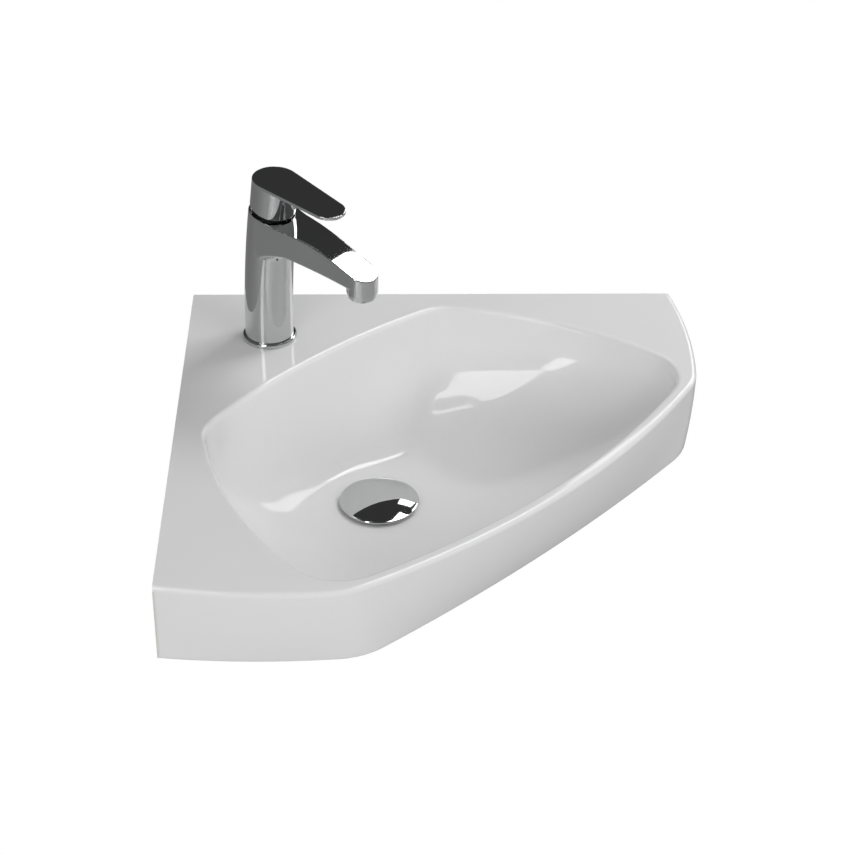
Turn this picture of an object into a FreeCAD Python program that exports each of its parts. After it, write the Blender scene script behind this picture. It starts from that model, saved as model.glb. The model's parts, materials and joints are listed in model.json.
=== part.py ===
import FreeCAD, Part
import math
import os

V = FreeCAD.Vector

# Corner washbasin with a single-lever mixer tap and a push-button waste. Millimetres.
# The origin is the room corner at rim level. The finished part has its back along +X (y = 0)
# and its left side along -Y (x = 0). Every piece is drawn with X along the diagonal, from the
# corner to the front, and is turned onto the two walls when it is written.
# In the names below, s is the distance along the diagonal and t the distance across it.

ROOT2 = math.sqrt(2.0)
WALL_TURN = -45.0

# Basin: outside
LEG = 450.0                 # each wall side
APRON_DEPTH = 71.0          # rim to lower edge
APRON_SWEEP_R = 152.0       # radius of the apron's profile, upright at the rim
END_R = (460.0, 680.0)      # bow of the two end faces, at the rim and at the lower edge
END_PEAK = (98.0, 85.0)     # distance of the bow's peak from the wall
FRONT_R = (764.0, 2000.0)   # bow of the front
FRONT_S = (462.0, 444.8)    # front apex along the diagonal
FRONT_CORNER_R = (60.0, 65.0)
OUTER_EDGE_R = 4.0
WALL_THICK = 10.0
DECK_THICK = 11.0
APRON_LEVELS = (0.0, 0.4, 0.75, 1.0)   # shares of the depth at which the outline is drawn

# Basin: bowl
BOWL_DEPTH = 118.0
BOWL_SHELL = 9.0
DRAIN_S = 246.7
FLOOR_R = 41.0              # flat dish round the drain
BACK_S = 164.0              # tap-side edge of the bowl at the rim
BACK_R = 700.0
FRONT_RIM_S = 449.0
FRONT_RIM_R = 750.0
SIDE_PEAK_S = 409.0         # where the bowl is widest at the rim
SIDE_HALF_W = 223.7
SIDE_R = 370.0
BOWL_CORNER_R = (36.0, 47.0)   # tap side, front side
BACK_FALL = 3.0             # higher is a squarer wall, 2 is an even quarter round
SIDE_FALL = 2.0
FRONT_FALL = 1.7
INSIDE_ANGLES = (0.0, 18.0, 38.0, 58.0, 75.0, 90.0)    # levels of the bowl, 90 is its floor
INSIDE_POINTS = 36          # stations round the bowl at each level
SHELL_ANGLES = (0.0, 18.0, 36.0, 54.0, 72.0, 90.0)    # its unglazed underside, in straight bands
SHELL_POINTS = 24
INNER_EDGE_R = 4.5
DRAIN_HOLE_R = 23.0
FLANGE_RECESS_R = 33.0
FLANGE_RECESS = 2.0
FLOOR_SPARE = 1.0           # the floor is this much thicker than the walls
WALL_SPARE = 5.0            # drawn past the walls, then cut flat on them

# Basin: holes
TAP_S = 75.0 * ROOT2        # tap hole, 75 mm from each wall
TAP_HOLE_R = 17.5
BOLT_HOLE_R = 8.0
BOLT_FROM_CORNER = 150.0
BOLT_DROP = 36.0

# Tap: body and spout, with u measured forward from the tap hole
BASE_RING_R = 24.6
BASE_RING_H = 4.0
BODY_R = (22.1, 21.3)       # at the base ring and at the top
BODY_TOP_Z = 132.7
LEAN = 8.8                  # degrees, of the tap's axis at the top
SPIGOT_R = 16.6
SPIGOT_DROP = 2.0
NOSE_U = 121.6
NOSE_R = 13.7
BOSS_Z = 95.5
SPOUT_FLAT = 21.6           # the spout's top goes on from the body's top face this far
SPOUT_TOP = ((50.0, 129.0), (79.0, 125.9), (105.0, 119.9), (139.0, 110.6))
SPOUT_SIDE = ((2.0, 21.4), (10.0, 21.2), (46.0, 18.3), (80.0, 15.0), (121.6, 13.7))
SPOUT_UNDER_Z = (104.6, 100.4)   # at the root and at the nose
ARCH_U = 48.0
ARCH_R = 38.0
ARCH_FOOT_U = 3.5           # where it ends, on the body's axis
ARCH_TURN = 60.0            # degrees the arch turns down before it runs straight into the body

# Tap: fixing, inlets and aerator
GASKET_R = (18.6, 22.4)
GASKET_H = 1.6
STUD_R = 3.95
STUD_BACK = 9.5             # stud behind the middle of the hole
STUD_TOP = 15.0
STUD_END_Z = -42.0
HORSESHOE_R = 24.0
HORSESHOE_MOUTH = 30.0
HORSESHOE_MOUTH_U = -3.0       # the mouth starts this far behind the middle of the hole
HORSESHOE_THICK = (3.0, 2.5)   # rubber, steel
NUT_FLATS = 13.0
NUT_H = 8.0
NUT_COLLAR = (8.0, 1.2)     # radius, height
INLETS = ((5.0, 7.2), (5.0, -7.2))
INLET_R = 5.0               # M10 hose thread
INLET_DEPTH = 14.0
AERATOR_R = 12.2
AERATOR_THREAD_R = 11.0
AERATOR_DEPTH = 9.0
AERATOR_LOW_Z = 90.4
AERATOR_BORE_R = 9.6
AERATOR_WASHER_H = 1.5
AERATOR_WASHER_R = 8.0
INSERT_R = 9.5
PASSAGE_R = 1.7
PASSAGE_DEPTH = 4.0
PASSAGE_RINGS = ((0.0, 1), (5.6, 7))   # radius of the ring, water passages on it

# Tap: heights along the leaning axis, from the body's top face
SEAT_A = -34.0
SEAT_R = 18.2
HOUSING_R = 17.4
PIVOT_A = -8.0
BALL_A = -20.3
BALL_R = 2.4
SPINDLE = 8.0               # square end of the spindle
SPINDLE_TOP = 23.5
PIN_R = 1.5
PIN_LONG = 21.0
ARM_R = 1.9                 # spindle between its pivot and its ball end
PORTS = ((-5.5, 5.5, 2.8), (-5.5, -5.5, 2.8), (7.0, 0.0, 3.2))   # hot, cold, mixed: place, radius
WATERWAY_R = 3.0
SPOUT_BORE_R = 4.5
SPOUT_BORE_Z = (114.0, 109.0)   # at the cartridge and at the nose
DISC_BACK = 2.3             # moving disc sits back by this when the tap is shut

# Tap: cartridge, each pair a radius and a thickness, or two heights
FOOT_THICK = 3.5
SEAL_WIDTH, SEAL_THICK = 1.5, 1.2
FIXED_DISC = (13.0, 4.0)
MOVING_DISC = (10.5, 3.5)
MOVING_DISH = (6.5, 1.5)    # hollow in its underside
DRIVER_THICK = 3.9
HOUSING_BORE_R = 13.3
HOUSING_STEP_A = (-12.2, -10.0)   # inside, outside
NECK_R = (12.0, 14.2)       # inside, outside
NECK_TOP_A = -2.2
CARRIER_R = (13.0, 11.7)    # foot, neck
CARRIER_A = (-18.6, -12.5, -2.4)  # bottom, step, top
CARRIER_SLOT = 17.0
KEY_NUT_R = 14.4
KEY_NUT_A = (-10.0, -1.5)
KEY_SLOT = (3.0, 2.5)       # width, depth
COVER_R = (12.2, 17.2)
COVER_A = (-1.5, 3.0)

# Lever
LEVER_TOP_A = 33.5
LEVER_BIG_R = 20.5
LEVER_SMALL_R = 14.9
LEVER_REACH = 66.5
LEVER_THICK = 3.0
LEVER_RISE = 4.05           # degrees, the paddle against the body's top face
SKIRT_R = 20.4
SKIRT_WALL = 2.1
SKIRT_GAP = 4.3
SKIRT_CUT = 7.5             # degrees, the skirt's lower edge against the body's top face
LEVER_EDGE = 0.5
RELIEF_R = 40.0             # cut-back at the skirt's rear, hidden from the front
RELIEF_A = 9.3
BOSS_R = 7.5
BOSS_A = 11.0
SCREW_R = 2.5
SCREW_A = 17.0
SCREW_LONG = 5.5
KEY_FLATS = 2.5
PLUG_R = 3.0

# Waste
CAP_R = 36.0
CAP_RIM_Z = -114.0
CAP_RIM_H = 1.8
CAP_RISE = 4.0
CAP_SEAL_R = (24.0, 29.0)
STUB_R = 5.0
STUB_DROP = 4.0
FLANGE_R = 32.0
FLANGE_THICK = 2.0
FLANGE_GASKET_H = 0.8
TAIL_R = 20.95              # 1 1/4 inch pipe thread, outside
TAIL_BORE_R = 18.0
TAIL_END_Z = -188.0
GROOVE_R = 20.2             # parts the back nut's thread from the trap's
GROOVE_Z = (-148.5, -147.5)
HUB_R = 10.0
ARM_Z = -158.0
CLICK_R = 7.5
CLICK_BORE_R = 5.6
CLICK_TOP_Z = -130.0
CLICK_LOW_Z = -166.0
PLUNGER_R = 3.0
PLUNGER_THREAD_R = 2.0
PLUNGER_END_Z = -158.0
PLUNGER_COLLAR_Z = -148.0
COLLAR_H = 2.5
WASHER_TOP_Z = -128.0       # underside of the bowl at the drain
CONE_WASHER_R = 31.0
CONE_WASHER_H = 8.0
SLIP_WASHER = (29.5, 1.5)   # radius, thickness
BACK_NUT_FLATS = 51.0
BACK_NUT_H = 9.0
BACK_NUT_FLANGE = (30.0, 2.5)
SPRING_WIRE = 1.0
SPRING_TURNS = 4

FACE_GAP = 0.1              # between flat faces that slide on each other
FIT_GAP = 0.05              # radial, between pins and their holes


# ---------------------------------------------------------------- drawing helpers

def circle_cut(c1, r1, c2, r2, near):
    """The crossing of two circles that is nearer to a given point."""
    d = c2 - c1
    gap = d.Length
    along = (r1 * r1 - r2 * r2 + gap * gap) / (2.0 * gap)
    off = math.sqrt(max(r1 * r1 - along * along, 0.0))
    e = d / gap
    side = V(-e.y, e.x, 0)
    found = [c1 + e * along + side * off, c1 + e * along - side * off]
    return min(found, key=lambda p: (p - near).Length)


def corner_arc(c1, r1, c2, r2, r, near):
    """A corner of radius r inside two circles: its centre and its two touching points."""
    c = circle_cut(c1, r1 - r, c2, r2 - r, near)
    first = c1 + (c - c1) * (r1 / (r1 - r))
    second = c2 + (c - c2) * (r2 / (r2 - r))
    return c, first, second


def arc_between(centre, radius, p, q):
    """The short arc about a centre from one point to another."""
    middle = (p + q) * 0.5 - centre
    middle.normalize()
    return Part.Arc(p, centre + middle * radius, q).toShape()


def at_height(wire, z):
    wire.translate(V(0, 0, z))
    return wire


def mirror(p):
    return V(p.x, -p.y, p.z)


def cylinder(r, z0, z1, x=0.0, y=0.0):
    return Part.makeCylinder(r, z1 - z0, V(x, y, z0))


def tube(r_out, r_in, z0, z1, x=0.0, y=0.0):
    return cylinder(r_out, z0, z1, x, y).cut(cylinder(r_in, z0 - 1, z1 + 1, x, y))


def box(x0, x1, y0, y1, z0, z1):
    return Part.makeBox(x1 - x0, y1 - y0, z1 - z0, V(x0, y0, z0))


def turned(points):
    """A solid of revolution about Z from a closed outline of (radius, height) points."""
    corners = [V(r, 0, z) for r, z in points]
    outline = Part.makePolygon(corners + corners[:1])
    return Part.Face(outline).revolve(V(0, 0, 0), V(0, 0, 1), 360)


def hexagon(across_flats, z0, z1, x=0.0, y=0.0):
    r = across_flats / math.sqrt(3.0)
    ring = [V(x + r * math.cos(math.radians(60 * i)), y + r * math.sin(math.radians(60 * i)), z0)
            for i in range(7)]
    return Part.Face(Part.makePolygon(ring)).extrude(V(0, 0, z1 - z0))


def rounded(shape, radius, chosen):
    """The shape with its chosen edges rounded."""
    edges = [e for e in shape.Edges if chosen(e)]
    return shape.makeFillet(radius, edges)


def flat_at(edge, z, tolerance=0.01):
    b = edge.BoundBox
    return abs(b.ZMin - z) < tolerance and abs(b.ZMax - z) < tolerance


# ---------------------------------------------------------------- basin

def blend(pair, k):
    return pair[0] + (pair[1] - pair[0]) * k


def bow(pair, k):
    """Radius between two radii, by even steps of curvature."""
    return 1.0 / blend((1.0 / pair[0], 1.0 / pair[1]), k)


def sweep_in(depth):
    """How far the apron has curved in at a depth: 0 at the rim, 1 at the lower edge."""
    def inset(z):
        return APRON_SWEEP_R - math.sqrt(APRON_SWEEP_R ** 2 - z * z)
    return inset(depth) / inset(APRON_DEPTH)


def basin_outline(depth, ends_in=0.0, walls_in=0.0):
    """Outline at a depth: two wall sides, two ends, two corners and the front, each set moved in."""
    k = sweep_in(min(depth, APRON_DEPTH))
    end_r = bow(END_R, k)
    peak = blend(END_PEAK, k)
    centre_y = -LEG + math.sqrt(end_r ** 2 - peak ** 2)
    end_c = V((peak - centre_y) / ROOT2, -(peak + centre_y) / ROOT2, 0)
    front_r = bow(FRONT_R, k)
    front_c = V(blend(FRONT_S, k) - front_r, 0, 0)
    end_r -= ends_in
    front_r -= ends_in
    corner_r = blend(FRONT_CORNER_R, k) - ends_in

    along = V(1 / ROOT2, 1 / ROOT2, 0)
    start = V(1 / ROOT2, -1 / ROOT2, 0) * walls_in
    rel = start - end_c
    b = rel.dot(along)
    reach = -b + math.sqrt(b * b - rel.dot(rel) + end_r ** 2)
    wall_end = start + along * reach
    apex = V(walls_in * ROOT2, 0, 0)

    hint = V(blend(FRONT_S, k), LEG / 2, 0)
    corner_c, on_end, on_front = corner_arc(end_c, end_r, front_c, front_r, corner_r, hint)
    edges = [
        Part.makeLine(apex, wall_end),
        arc_between(end_c, end_r, wall_end, on_end),
        arc_between(corner_c, corner_r, on_end, on_front),
        arc_between(front_c, front_r, on_front, mirror(on_front)),
        arc_between(mirror(corner_c), corner_r, mirror(on_front), mirror(on_end)),
        arc_between(mirror(end_c), end_r, mirror(on_end), mirror(wall_end)),
        Part.makeLine(mirror(wall_end), apex),
    ]
    return at_height(Part.Wire(edges), -depth)


def behind_wall(side):
    """The space behind one of the two walls."""
    space = box(-LEG, 2 * LEG, 0, WALL_SPARE * 2, -LEG, LEG)
    space.rotate(V(0, 0, 0), V(0, 0, 1), 45)
    return space if side > 0 else space.mirror(V(0, 0, 0), V(0, 1, 0))


def outer_block():
    """The full block under the rim, flat on both walls, its front and ends curving in downwards."""
    levels = [basin_outline(APRON_DEPTH * share, 0.0, -WALL_SPARE) for share in APRON_LEVELS]
    block = Part.makeLoft(levels, True)
    return block.cut([behind_wall(1), behind_wall(-1)])


def on_front_edge(e):
    """Picks the top edges of the ends and the front."""
    middle = e.valueAt((e.FirstParameter + e.LastParameter) / 2)
    return flat_at(e, 0) and middle.x - abs(middle.y) > 1.0 and not on_bowl_edge(e)


def under_space():
    """The open space under the deck, inside the walls and the apron."""
    levels = [basin_outline(APRON_DEPTH * share, WALL_THICK, WALL_THICK) for share in (0.0, 0.5, 1.0)]
    space = Part.makeLoft(levels, True)
    deck = box(-LEG, 2 * LEG, -LEG, LEG, -DECK_THICK, LEG)
    mouth = Part.Face(basin_outline(APRON_DEPTH, WALL_THICK, WALL_THICK)).extrude(V(0, 0, -2))
    return space.cut(deck).fuse(mouth)


def bowl_rim(grow):
    """Outline of the bowl at the rim, from the middle of its tap side and all the way round."""
    back_r, front_r, side_r = BACK_R + grow, FRONT_RIM_R + grow, SIDE_R + grow
    rear_r, fore_r = BOWL_CORNER_R[0] + grow, BOWL_CORNER_R[1] + grow
    back_c = V(BACK_S + BACK_R, 0, 0)
    front_c = V(FRONT_RIM_S - FRONT_RIM_R, 0, 0)
    side_c = V(SIDE_PEAK_S, SIDE_HALF_W - SIDE_R, 0)
    rear_hint = V(BACK_S, SIDE_HALF_W, 0)
    fore_hint = V(FRONT_RIM_S, SIDE_HALF_W, 0)
    rear_c, on_back, on_rear = corner_arc(back_c, back_r, side_c, side_r, rear_r, rear_hint)
    fore_c, on_fore, on_front = corner_arc(side_c, side_r, front_c, front_r, fore_r, fore_hint)
    middle = V(BACK_S - grow, 0, 0)
    half = [
        (back_c, back_r, middle, on_back),
        (rear_c, rear_r, on_back, on_rear),
        (side_c, side_r, on_rear, on_fore),
        (fore_c, fore_r, on_fore, on_front),
        (front_c, front_r, on_front, V(FRONT_RIM_S + grow, 0, 0)),
    ]
    other = [(mirror(c), r, mirror(q), mirror(p)) for c, r, p, q in reversed(half)]
    return Part.Wire([arc_between(*step) for step in half + other])


def wall_power(angle):
    """How square the bowl's wall is in a direction from the drain, where 0 is to the front."""
    front = max(math.cos(angle), 0.0) ** 2
    back = max(-math.cos(angle), 0.0) ** 2
    return SIDE_FALL + (FRONT_FALL - SIDE_FALL) * front + (BACK_FALL - SIDE_FALL) * back


def bowl_form(depth, grow, angles, count, banded):
    """The bowl as a block: each stretch of wall runs from the flat dish out and up to the rim."""
    drain = V(DRAIN_S, 0, 0)
    rim = bowl_rim(grow).discretize(Number=count + 1)[:-1]
    rays = [p - drain for p in rim]
    levels = []
    for degrees in angles:
        share = math.sin(math.radians(degrees))
        points = []
        for ray in rays:
            angle = math.atan2(ray.y, ray.x)
            power = wall_power(angle)
            out = max(1.0 - share ** power, 0.0) ** (1.0 / power)
            dish = V(math.cos(angle), math.sin(angle), 0) * (FLOOR_R + grow)
            points.append(drain + dish + (ray - dish) * out + V(0, 0, -depth * share))
        curve = Part.BSplineCurve()
        knots = [i / count for i in range(count + 1)]
        curve.interpolate(Points=points, PeriodicFlag=True, Parameters=knots)
        levels.append(Part.Wire([curve.toShape()]))
    return Part.makeLoft(levels, True, banded)


def on_bowl_edge(e):
    """Picks the bowl's edge at the rim."""
    b = e.BoundBox
    inside = b.XMin > BACK_S - 1 and b.XMax < FRONT_RIM_S + 1
    return flat_at(e, 0) and inside and max(abs(b.YMin), abs(b.YMax)) < SIDE_HALF_W + 1


def bolt_hole(side):
    """Hole through one wall side, towards the inside."""
    along = V(1 / ROOT2, side / ROOT2, 0)
    inward = V(1 / ROOT2, -side / ROOT2, 0)
    centre = along * BOLT_FROM_CORNER + V(0, 0, -BOLT_DROP)
    return Part.makeCylinder(BOLT_HOLE_R, WALL_THICK + 10, centre - inward * 5, inward)


def basin():
    """One casting: deck, apron and walls, open below, with the bowl hung in it."""
    shell_depth = BOWL_DEPTH + BOWL_SHELL + FLOOR_SPARE
    inside = bowl_form(BOWL_DEPTH, 0.0, INSIDE_ANGLES, INSIDE_POINTS, False)
    shell = bowl_form(shell_depth, BOWL_SHELL, SHELL_ANGLES, SHELL_POINTS, True)
    below = box(0, 2 * LEG, -LEG, LEG, -2 * shell_depth, -APRON_DEPTH + 1)
    block = outer_block()
    body = block.cut(under_space()).fuse(shell.common(block.fuse(below))).cut(inside)
    body = rounded(body.removeSplitter(), OUTER_EDGE_R, on_front_edge)
    body = rounded(body, INNER_EDGE_R, on_bowl_edge)
    return body.cut([
        cylinder(TAP_HOLE_R, -DECK_THICK - 5, 5, TAP_S),
        cylinder(DRAIN_HOLE_R, -shell_depth - 5, 5 - BOWL_DEPTH, DRAIN_S),
        cylinder(FLANGE_RECESS_R, -BOWL_DEPTH - FLANGE_RECESS, 5 - BOWL_DEPTH, DRAIN_S),
        bolt_hole(1),
        bolt_hole(-1),
    ])


# ---------------------------------------------------------------- placing

def axis_arc_r():
    """Radius of the tap's bowed axis, upright at the base ring."""
    return (BODY_TOP_Z - BASE_RING_H) / math.sin(math.radians(LEAN))


def on_axis(share):
    """Point and lean of the tap's axis at a share of the body's height."""
    lean = math.radians(LEAN * share)
    r = axis_arc_r()
    return V(TAP_S + r * (1 - math.cos(lean)), 0, BASE_RING_H + r * math.sin(lean)), lean


def on_tap(shape):
    """Puts a piece drawn with u = 0 at the tap hole in its place."""
    shape.translate(V(TAP_S, 0, 0))
    return shape


def leaned(shape):
    """Puts a piece drawn upright, with zero at the body's top face, on the leaning axis."""
    shape.rotate(V(0, 0, 0), V(0, 1, 0), LEAN)
    shape.translate(on_axis(1.0)[0])
    return shape


# ---------------------------------------------------------------- tap body

def body_column():
    """Column of the tap, tapering a little and bowed forward."""
    rings = []
    for share in (0.0, 0.2, 0.4, 0.6, 0.8, 1.0):
        centre, lean = on_axis(share)
        normal = V(math.sin(lean), 0, math.cos(lean))
        rings.append(Part.Wire([Part.Circle(centre, normal, blend(BODY_R, share)).toShape()]))
    return Part.makeLoft(rings, True, True)


def spline(points):
    """A smooth curve through the points."""
    curve = Part.BSplineCurve()
    curve.interpolate(points)
    return curve.toShape()


def spout_side_view():
    """Side outline of the spout: flat root, falling top, blunt nose, arched underside."""
    root = leaned_point(0, 0, 0)
    top = [leaned_point(SPOUT_FLAT, 0, 0)] + [V(TAP_S + u, 0, z) for u, z in SPOUT_TOP]
    nose_low = V(top[-1].x, 0, SPOUT_UNDER_Z[1])
    arch_c = V(TAP_S + ARCH_U, 0, SPOUT_UNDER_Z[0] - ARCH_R)

    def on_arch(degrees):
        a = math.radians(degrees)
        return arch_c + V(math.cos(a), 0, math.sin(a)) * ARCH_R
    arch_top, arch_mid, arch_end = on_arch(90), on_arch(90 + ARCH_TURN / 2), on_arch(90 + ARCH_TURN)
    down = arch_end - arch_c
    run = (arch_end.x - TAP_S - ARCH_FOOT_U) / down.z
    foot = arch_end + V(-down.z, 0, down.x) * run
    edges = [
        Part.makeLine(root, top[0]),
        spline(top),
        Part.makeLine(top[-1], nose_low),
        Part.makeLine(nose_low, arch_top),
        Part.Arc(arch_top, arch_mid, arch_end).toShape(),
        Part.makeLine(arch_end, foot),
        Part.makeLine(foot, root),
    ]
    face = Part.Face(Part.Wire(edges))
    face.translate(V(0, -30, 0))
    return face.extrude(V(0, 60, 0))


def spout_plan(z0, z1):
    """Plan of the spout: as wide as the body at its root, waisted to a round nose."""
    side = [V(TAP_S + u, w, z0) for u, w in SPOUT_SIDE]
    curve = Part.BSplineCurve()
    curve.interpolate(Points=side, InitialTangent=V(1, 0.0, 0), FinalTangent=V(1, 0, 0))
    left = curve.toShape()
    right = left.mirror(V(0, 0, 0), V(0, 1, 0))
    tip = V(side[-1].x + NOSE_R, 0, z0)
    nose = Part.Arc(side[-1], tip, mirror(side[-1])).toShape()
    root = Part.makeLine(mirror(side[0]), side[0])
    return Part.Face(Part.Wire([left, nose, right, root])).extrude(V(0, 0, z1 - z0))


def tap_body():
    """Column and spout in one casting, drilled for water, hoses, stud, cartridge and aerator."""
    spout = spout_side_view().common(spout_plan(50, 150))
    nose_x = TAP_S + NOSE_U
    boss = cylinder(NOSE_R, BOSS_Z, SPOUT_UNDER_Z[1] + 6, nose_x)
    shape = body_column().fuse([spout, boss])
    shape = shape.removeSplitter()
    spigot = cylinder(SPIGOT_R, -SPIGOT_DROP, BASE_RING_H + 1, TAP_S)
    shape = shape.fuse(spigot)
    seat = leaned(cylinder(SEAT_R, SEAT_A, 5))
    socket = cylinder(AERATOR_THREAD_R + FIT_GAP, BOSS_Z - 1, BOSS_Z + AERATOR_DEPTH, nose_x)
    shape = shape.cut(seat).cut(socket)
    for x, y in INLETS:
        shape = shape.cut(cylinder(INLET_R, -SPIGOT_DROP - 1, INLET_DEPTH - SPIGOT_DROP, TAP_S + x, y))
    stud_hole = cylinder(STUD_R + FIT_GAP, -SPIGOT_DROP - 1, STUD_TOP, TAP_S - STUD_BACK)
    return shape.cut([stud_hole] + waterways())


def rod(a, b, r):
    """A round bar of radius r from point a to point b."""
    return Part.makeCylinder(r, (b - a).Length, a, b - a)


def leaned_point(u, t, a):
    """Where a point of the leaning frame lies."""
    centre, lean = on_axis(1.0)
    return centre + V(u * math.cos(lean) + a * math.sin(lean), t, a * math.cos(lean) - u * math.sin(lean))


def waterways():
    """Two drillings up to the cartridge, an outlet groove beside it and the spout's bore."""
    ways = []
    for inlet, port in zip(INLETS, PORTS):
        low = V(TAP_S + inlet[0], inlet[1], INLET_DEPTH - SPIGOT_DROP - 2)
        ways.append(rod(low, leaned_point(port[0], port[1], SEAT_A + 1), WATERWAY_R))
    ways.append(leaned(box(4, SEAT_R + 2, -WATERWAY_R, WATERWAY_R, SEAT_A - 3, SEAT_A + 18)))
    nose_x = TAP_S + NOSE_U
    top = BOSS_Z + AERATOR_DEPTH
    ways.append(rod(V(TAP_S + 18, 0, SPOUT_BORE_Z[0]), V(nose_x, 0, SPOUT_BORE_Z[1]), SPOUT_BORE_R))
    ways.append(cylinder(9.0, top - 1, SPOUT_BORE_Z[1] + 1, nose_x))
    return ways


# ---------------------------------------------------------------- tap: fixing to the basin

def base_ring():
    """Foot ring between the tap and the deck, grooved for its gasket."""
    r, h = BASE_RING_R, BASE_RING_H
    ring = turned([(SPIGOT_R + 0.2, 0), (r, 0), (r, h - 1.0), (r - 0.3, h - 0.4), (r - 0.9, h),
                   (SPIGOT_R + 0.2, h)])
    groove = tube(GASKET_R[1] + FIT_GAP, GASKET_R[0] - FIT_GAP, -1, GASKET_H)
    return on_tap(ring.cut(groove))


def base_gasket():
    return on_tap(tube(GASKET_R[1], GASKET_R[0], 0, GASKET_H))


def fixing_stud():
    shank = cylinder(STUD_R, STUD_END_Z + 1, STUD_TOP - 1)
    point = Part.makeCone(STUD_R - 0.8, STUD_R, 1, V(0, 0, STUD_END_Z))
    shape = shank.fuse(point)
    shape.translate(V(-STUD_BACK, 0, 0))
    return on_tap(shape)


def horseshoe(thick, top_z, stud_gap):
    """A clamping plate with a mouth that lets the two hoses through."""
    plate = cylinder(HORSESHOE_R, top_z - thick, top_z)
    half = HORSESHOE_MOUTH / 2
    mouth = box(HORSESHOE_MOUTH_U, HORSESHOE_R + 1, -half, half, top_z - thick - 1, top_z + 1)
    hole = cylinder(STUD_R + stud_gap, top_z - thick - 1, top_z + 1, -STUD_BACK)
    return on_tap(plate.cut(mouth).cut(hole))


def horseshoe_seal():
    return horseshoe(HORSESHOE_THICK[0], -DECK_THICK, 0.3)


def horseshoe_plate():
    return horseshoe(HORSESHOE_THICK[1], -DECK_THICK - HORSESHOE_THICK[0], 0.5)


def fixing_nut():
    top = -DECK_THICK - sum(HORSESHOE_THICK)
    nut = hexagon(NUT_FLATS, top - NUT_H, top)
    collar = cylinder(NUT_COLLAR[0], top - NUT_COLLAR[1], top)
    nut = nut.fuse(collar).cut(cylinder(STUD_R + FIT_GAP, top - NUT_H - 1, top + 1))
    nut.translate(V(-STUD_BACK, 0, 0))
    return on_tap(nut)


# ---------------------------------------------------------------- tap: cartridge

def cartridge_base():
    """Foot of the cartridge, with two inlet ports and one outlet port."""
    foot = cylinder(HOUSING_R, SEAT_A, SEAT_A + FOOT_THICK)
    for x, y, r in PORTS:
        foot = foot.cut(cylinder(r, SEAT_A - 1, SEAT_A + FOOT_THICK + 1, x, y))
        foot = foot.cut(cylinder(r + SEAL_WIDTH + FACE_GAP, SEAT_A - 1, SEAT_A + SEAL_THICK, x, y))
    return leaned(foot)


def cartridge_seals():
    """Three rubber rings, one round each port, in grooves under the foot."""
    rings = [tube(r + SEAL_WIDTH, r, SEAT_A, SEAT_A + SEAL_THICK, x, y) for x, y, r in PORTS]
    return leaned(Part.makeCompound(rings))


def fixed_disc():
    """Ceramic disc that stays put, with the three ports through it."""
    low, high = SEAT_A + FOOT_THICK, SEAT_A + FOOT_THICK + FIXED_DISC[1]
    disc = cylinder(FIXED_DISC[0], low, high)
    for x, y, r in PORTS:
        disc = disc.cut(cylinder(r - 0.4, low - 1, high + 1, x, y))
    return leaned(disc)


def cartridge_housing():
    """Sleeve round the discs, with a narrower neck above."""
    low, (step, shoulder) = SEAT_A + FOOT_THICK, HOUSING_STEP_A
    neck_in, neck_out = NECK_R
    shell = turned([(HOUSING_BORE_R, low), (HOUSING_R, low), (HOUSING_R, shoulder), (neck_out, shoulder),
                    (neck_out, NECK_TOP_A), (neck_in, NECK_TOP_A), (neck_in, step), (HOUSING_BORE_R, step)])
    return leaned(shell)


def disc_bottom():
    """Height of the moving disc's underside."""
    return SEAT_A + FOOT_THICK + FIXED_DISC[1] + FACE_GAP


def moving_disc():
    """Ceramic disc that slides and turns on the fixed one, hollow below."""
    z = disc_bottom()
    disc = cylinder(MOVING_DISC[0], z, z + MOVING_DISC[1], -DISC_BACK)
    dish = cylinder(MOVING_DISH[0], z - 1, z + MOVING_DISH[1], -DISC_BACK)
    return leaned(disc.cut(dish))


def disc_driver():
    """Plate on the moving disc, with the square window that the spindle's ball end pushes."""
    z = disc_bottom() + MOVING_DISC[1]
    plate = cylinder(MOVING_DISC[0], z, z + DRIVER_THICK, -DISC_BACK)
    half = BALL_R + 0.15
    return leaned(plate.cut(box(-half, half, -half, half, z - 1, z + DRIVER_THICK + 1)))


def turning_carrier():
    """Stepped block that turns in the housing; the spindle tilts in its slot."""
    low, step, top = CARRIER_A
    body = cylinder(CARRIER_R[0], low, step).fuse(cylinder(CARRIER_R[1], step - 0.5, top))
    long, half = CARRIER_SLOT / 2, SPINDLE / 2 + 0.2
    slot = box(-long, long, -half, half, low - 1, top + 1)
    pin_hole = Part.makeCylinder(PIN_R, 30, V(0, -15, PIVOT_A), V(0, 1, 0))
    return leaned(body.cut(slot).cut(pin_hole))


def pivot_pin():
    return leaned(Part.makeCylinder(PIN_R, PIN_LONG, V(0, -PIN_LONG / 2, PIVOT_A), V(0, 1, 0)))


def spindle():
    """Square shank above, round waist at the pivot, ball end below."""
    half = SPINDLE / 2
    shank = box(-half, half, -half, half, -3, SPINDLE_TOP)
    hub = Part.makeCylinder(4.2, SPINDLE, V(0, -half, PIVOT_A), V(0, 1, 0))
    web = box(-half * 0.8, half * 0.8, -half, half, PIVOT_A, 0)
    arm = cylinder(ARM_R, BALL_A, PIVOT_A)
    low, high, slim = BALL_A - BALL_R, BALL_A + BALL_R, BALL_R - 1.0
    ball = turned([(0, low), (slim, low), (BALL_R, BALL_A - 1), (BALL_R, BALL_A + 1), (slim, high),
                   (0, high)])
    pin_hole = Part.makeCylinder(PIN_R + FIT_GAP, 30, V(0, -15, PIVOT_A), V(0, 1, 0))
    return leaned(shank.fuse([hub, web, arm, ball]).cut(pin_hole).removeSplitter())


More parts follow.
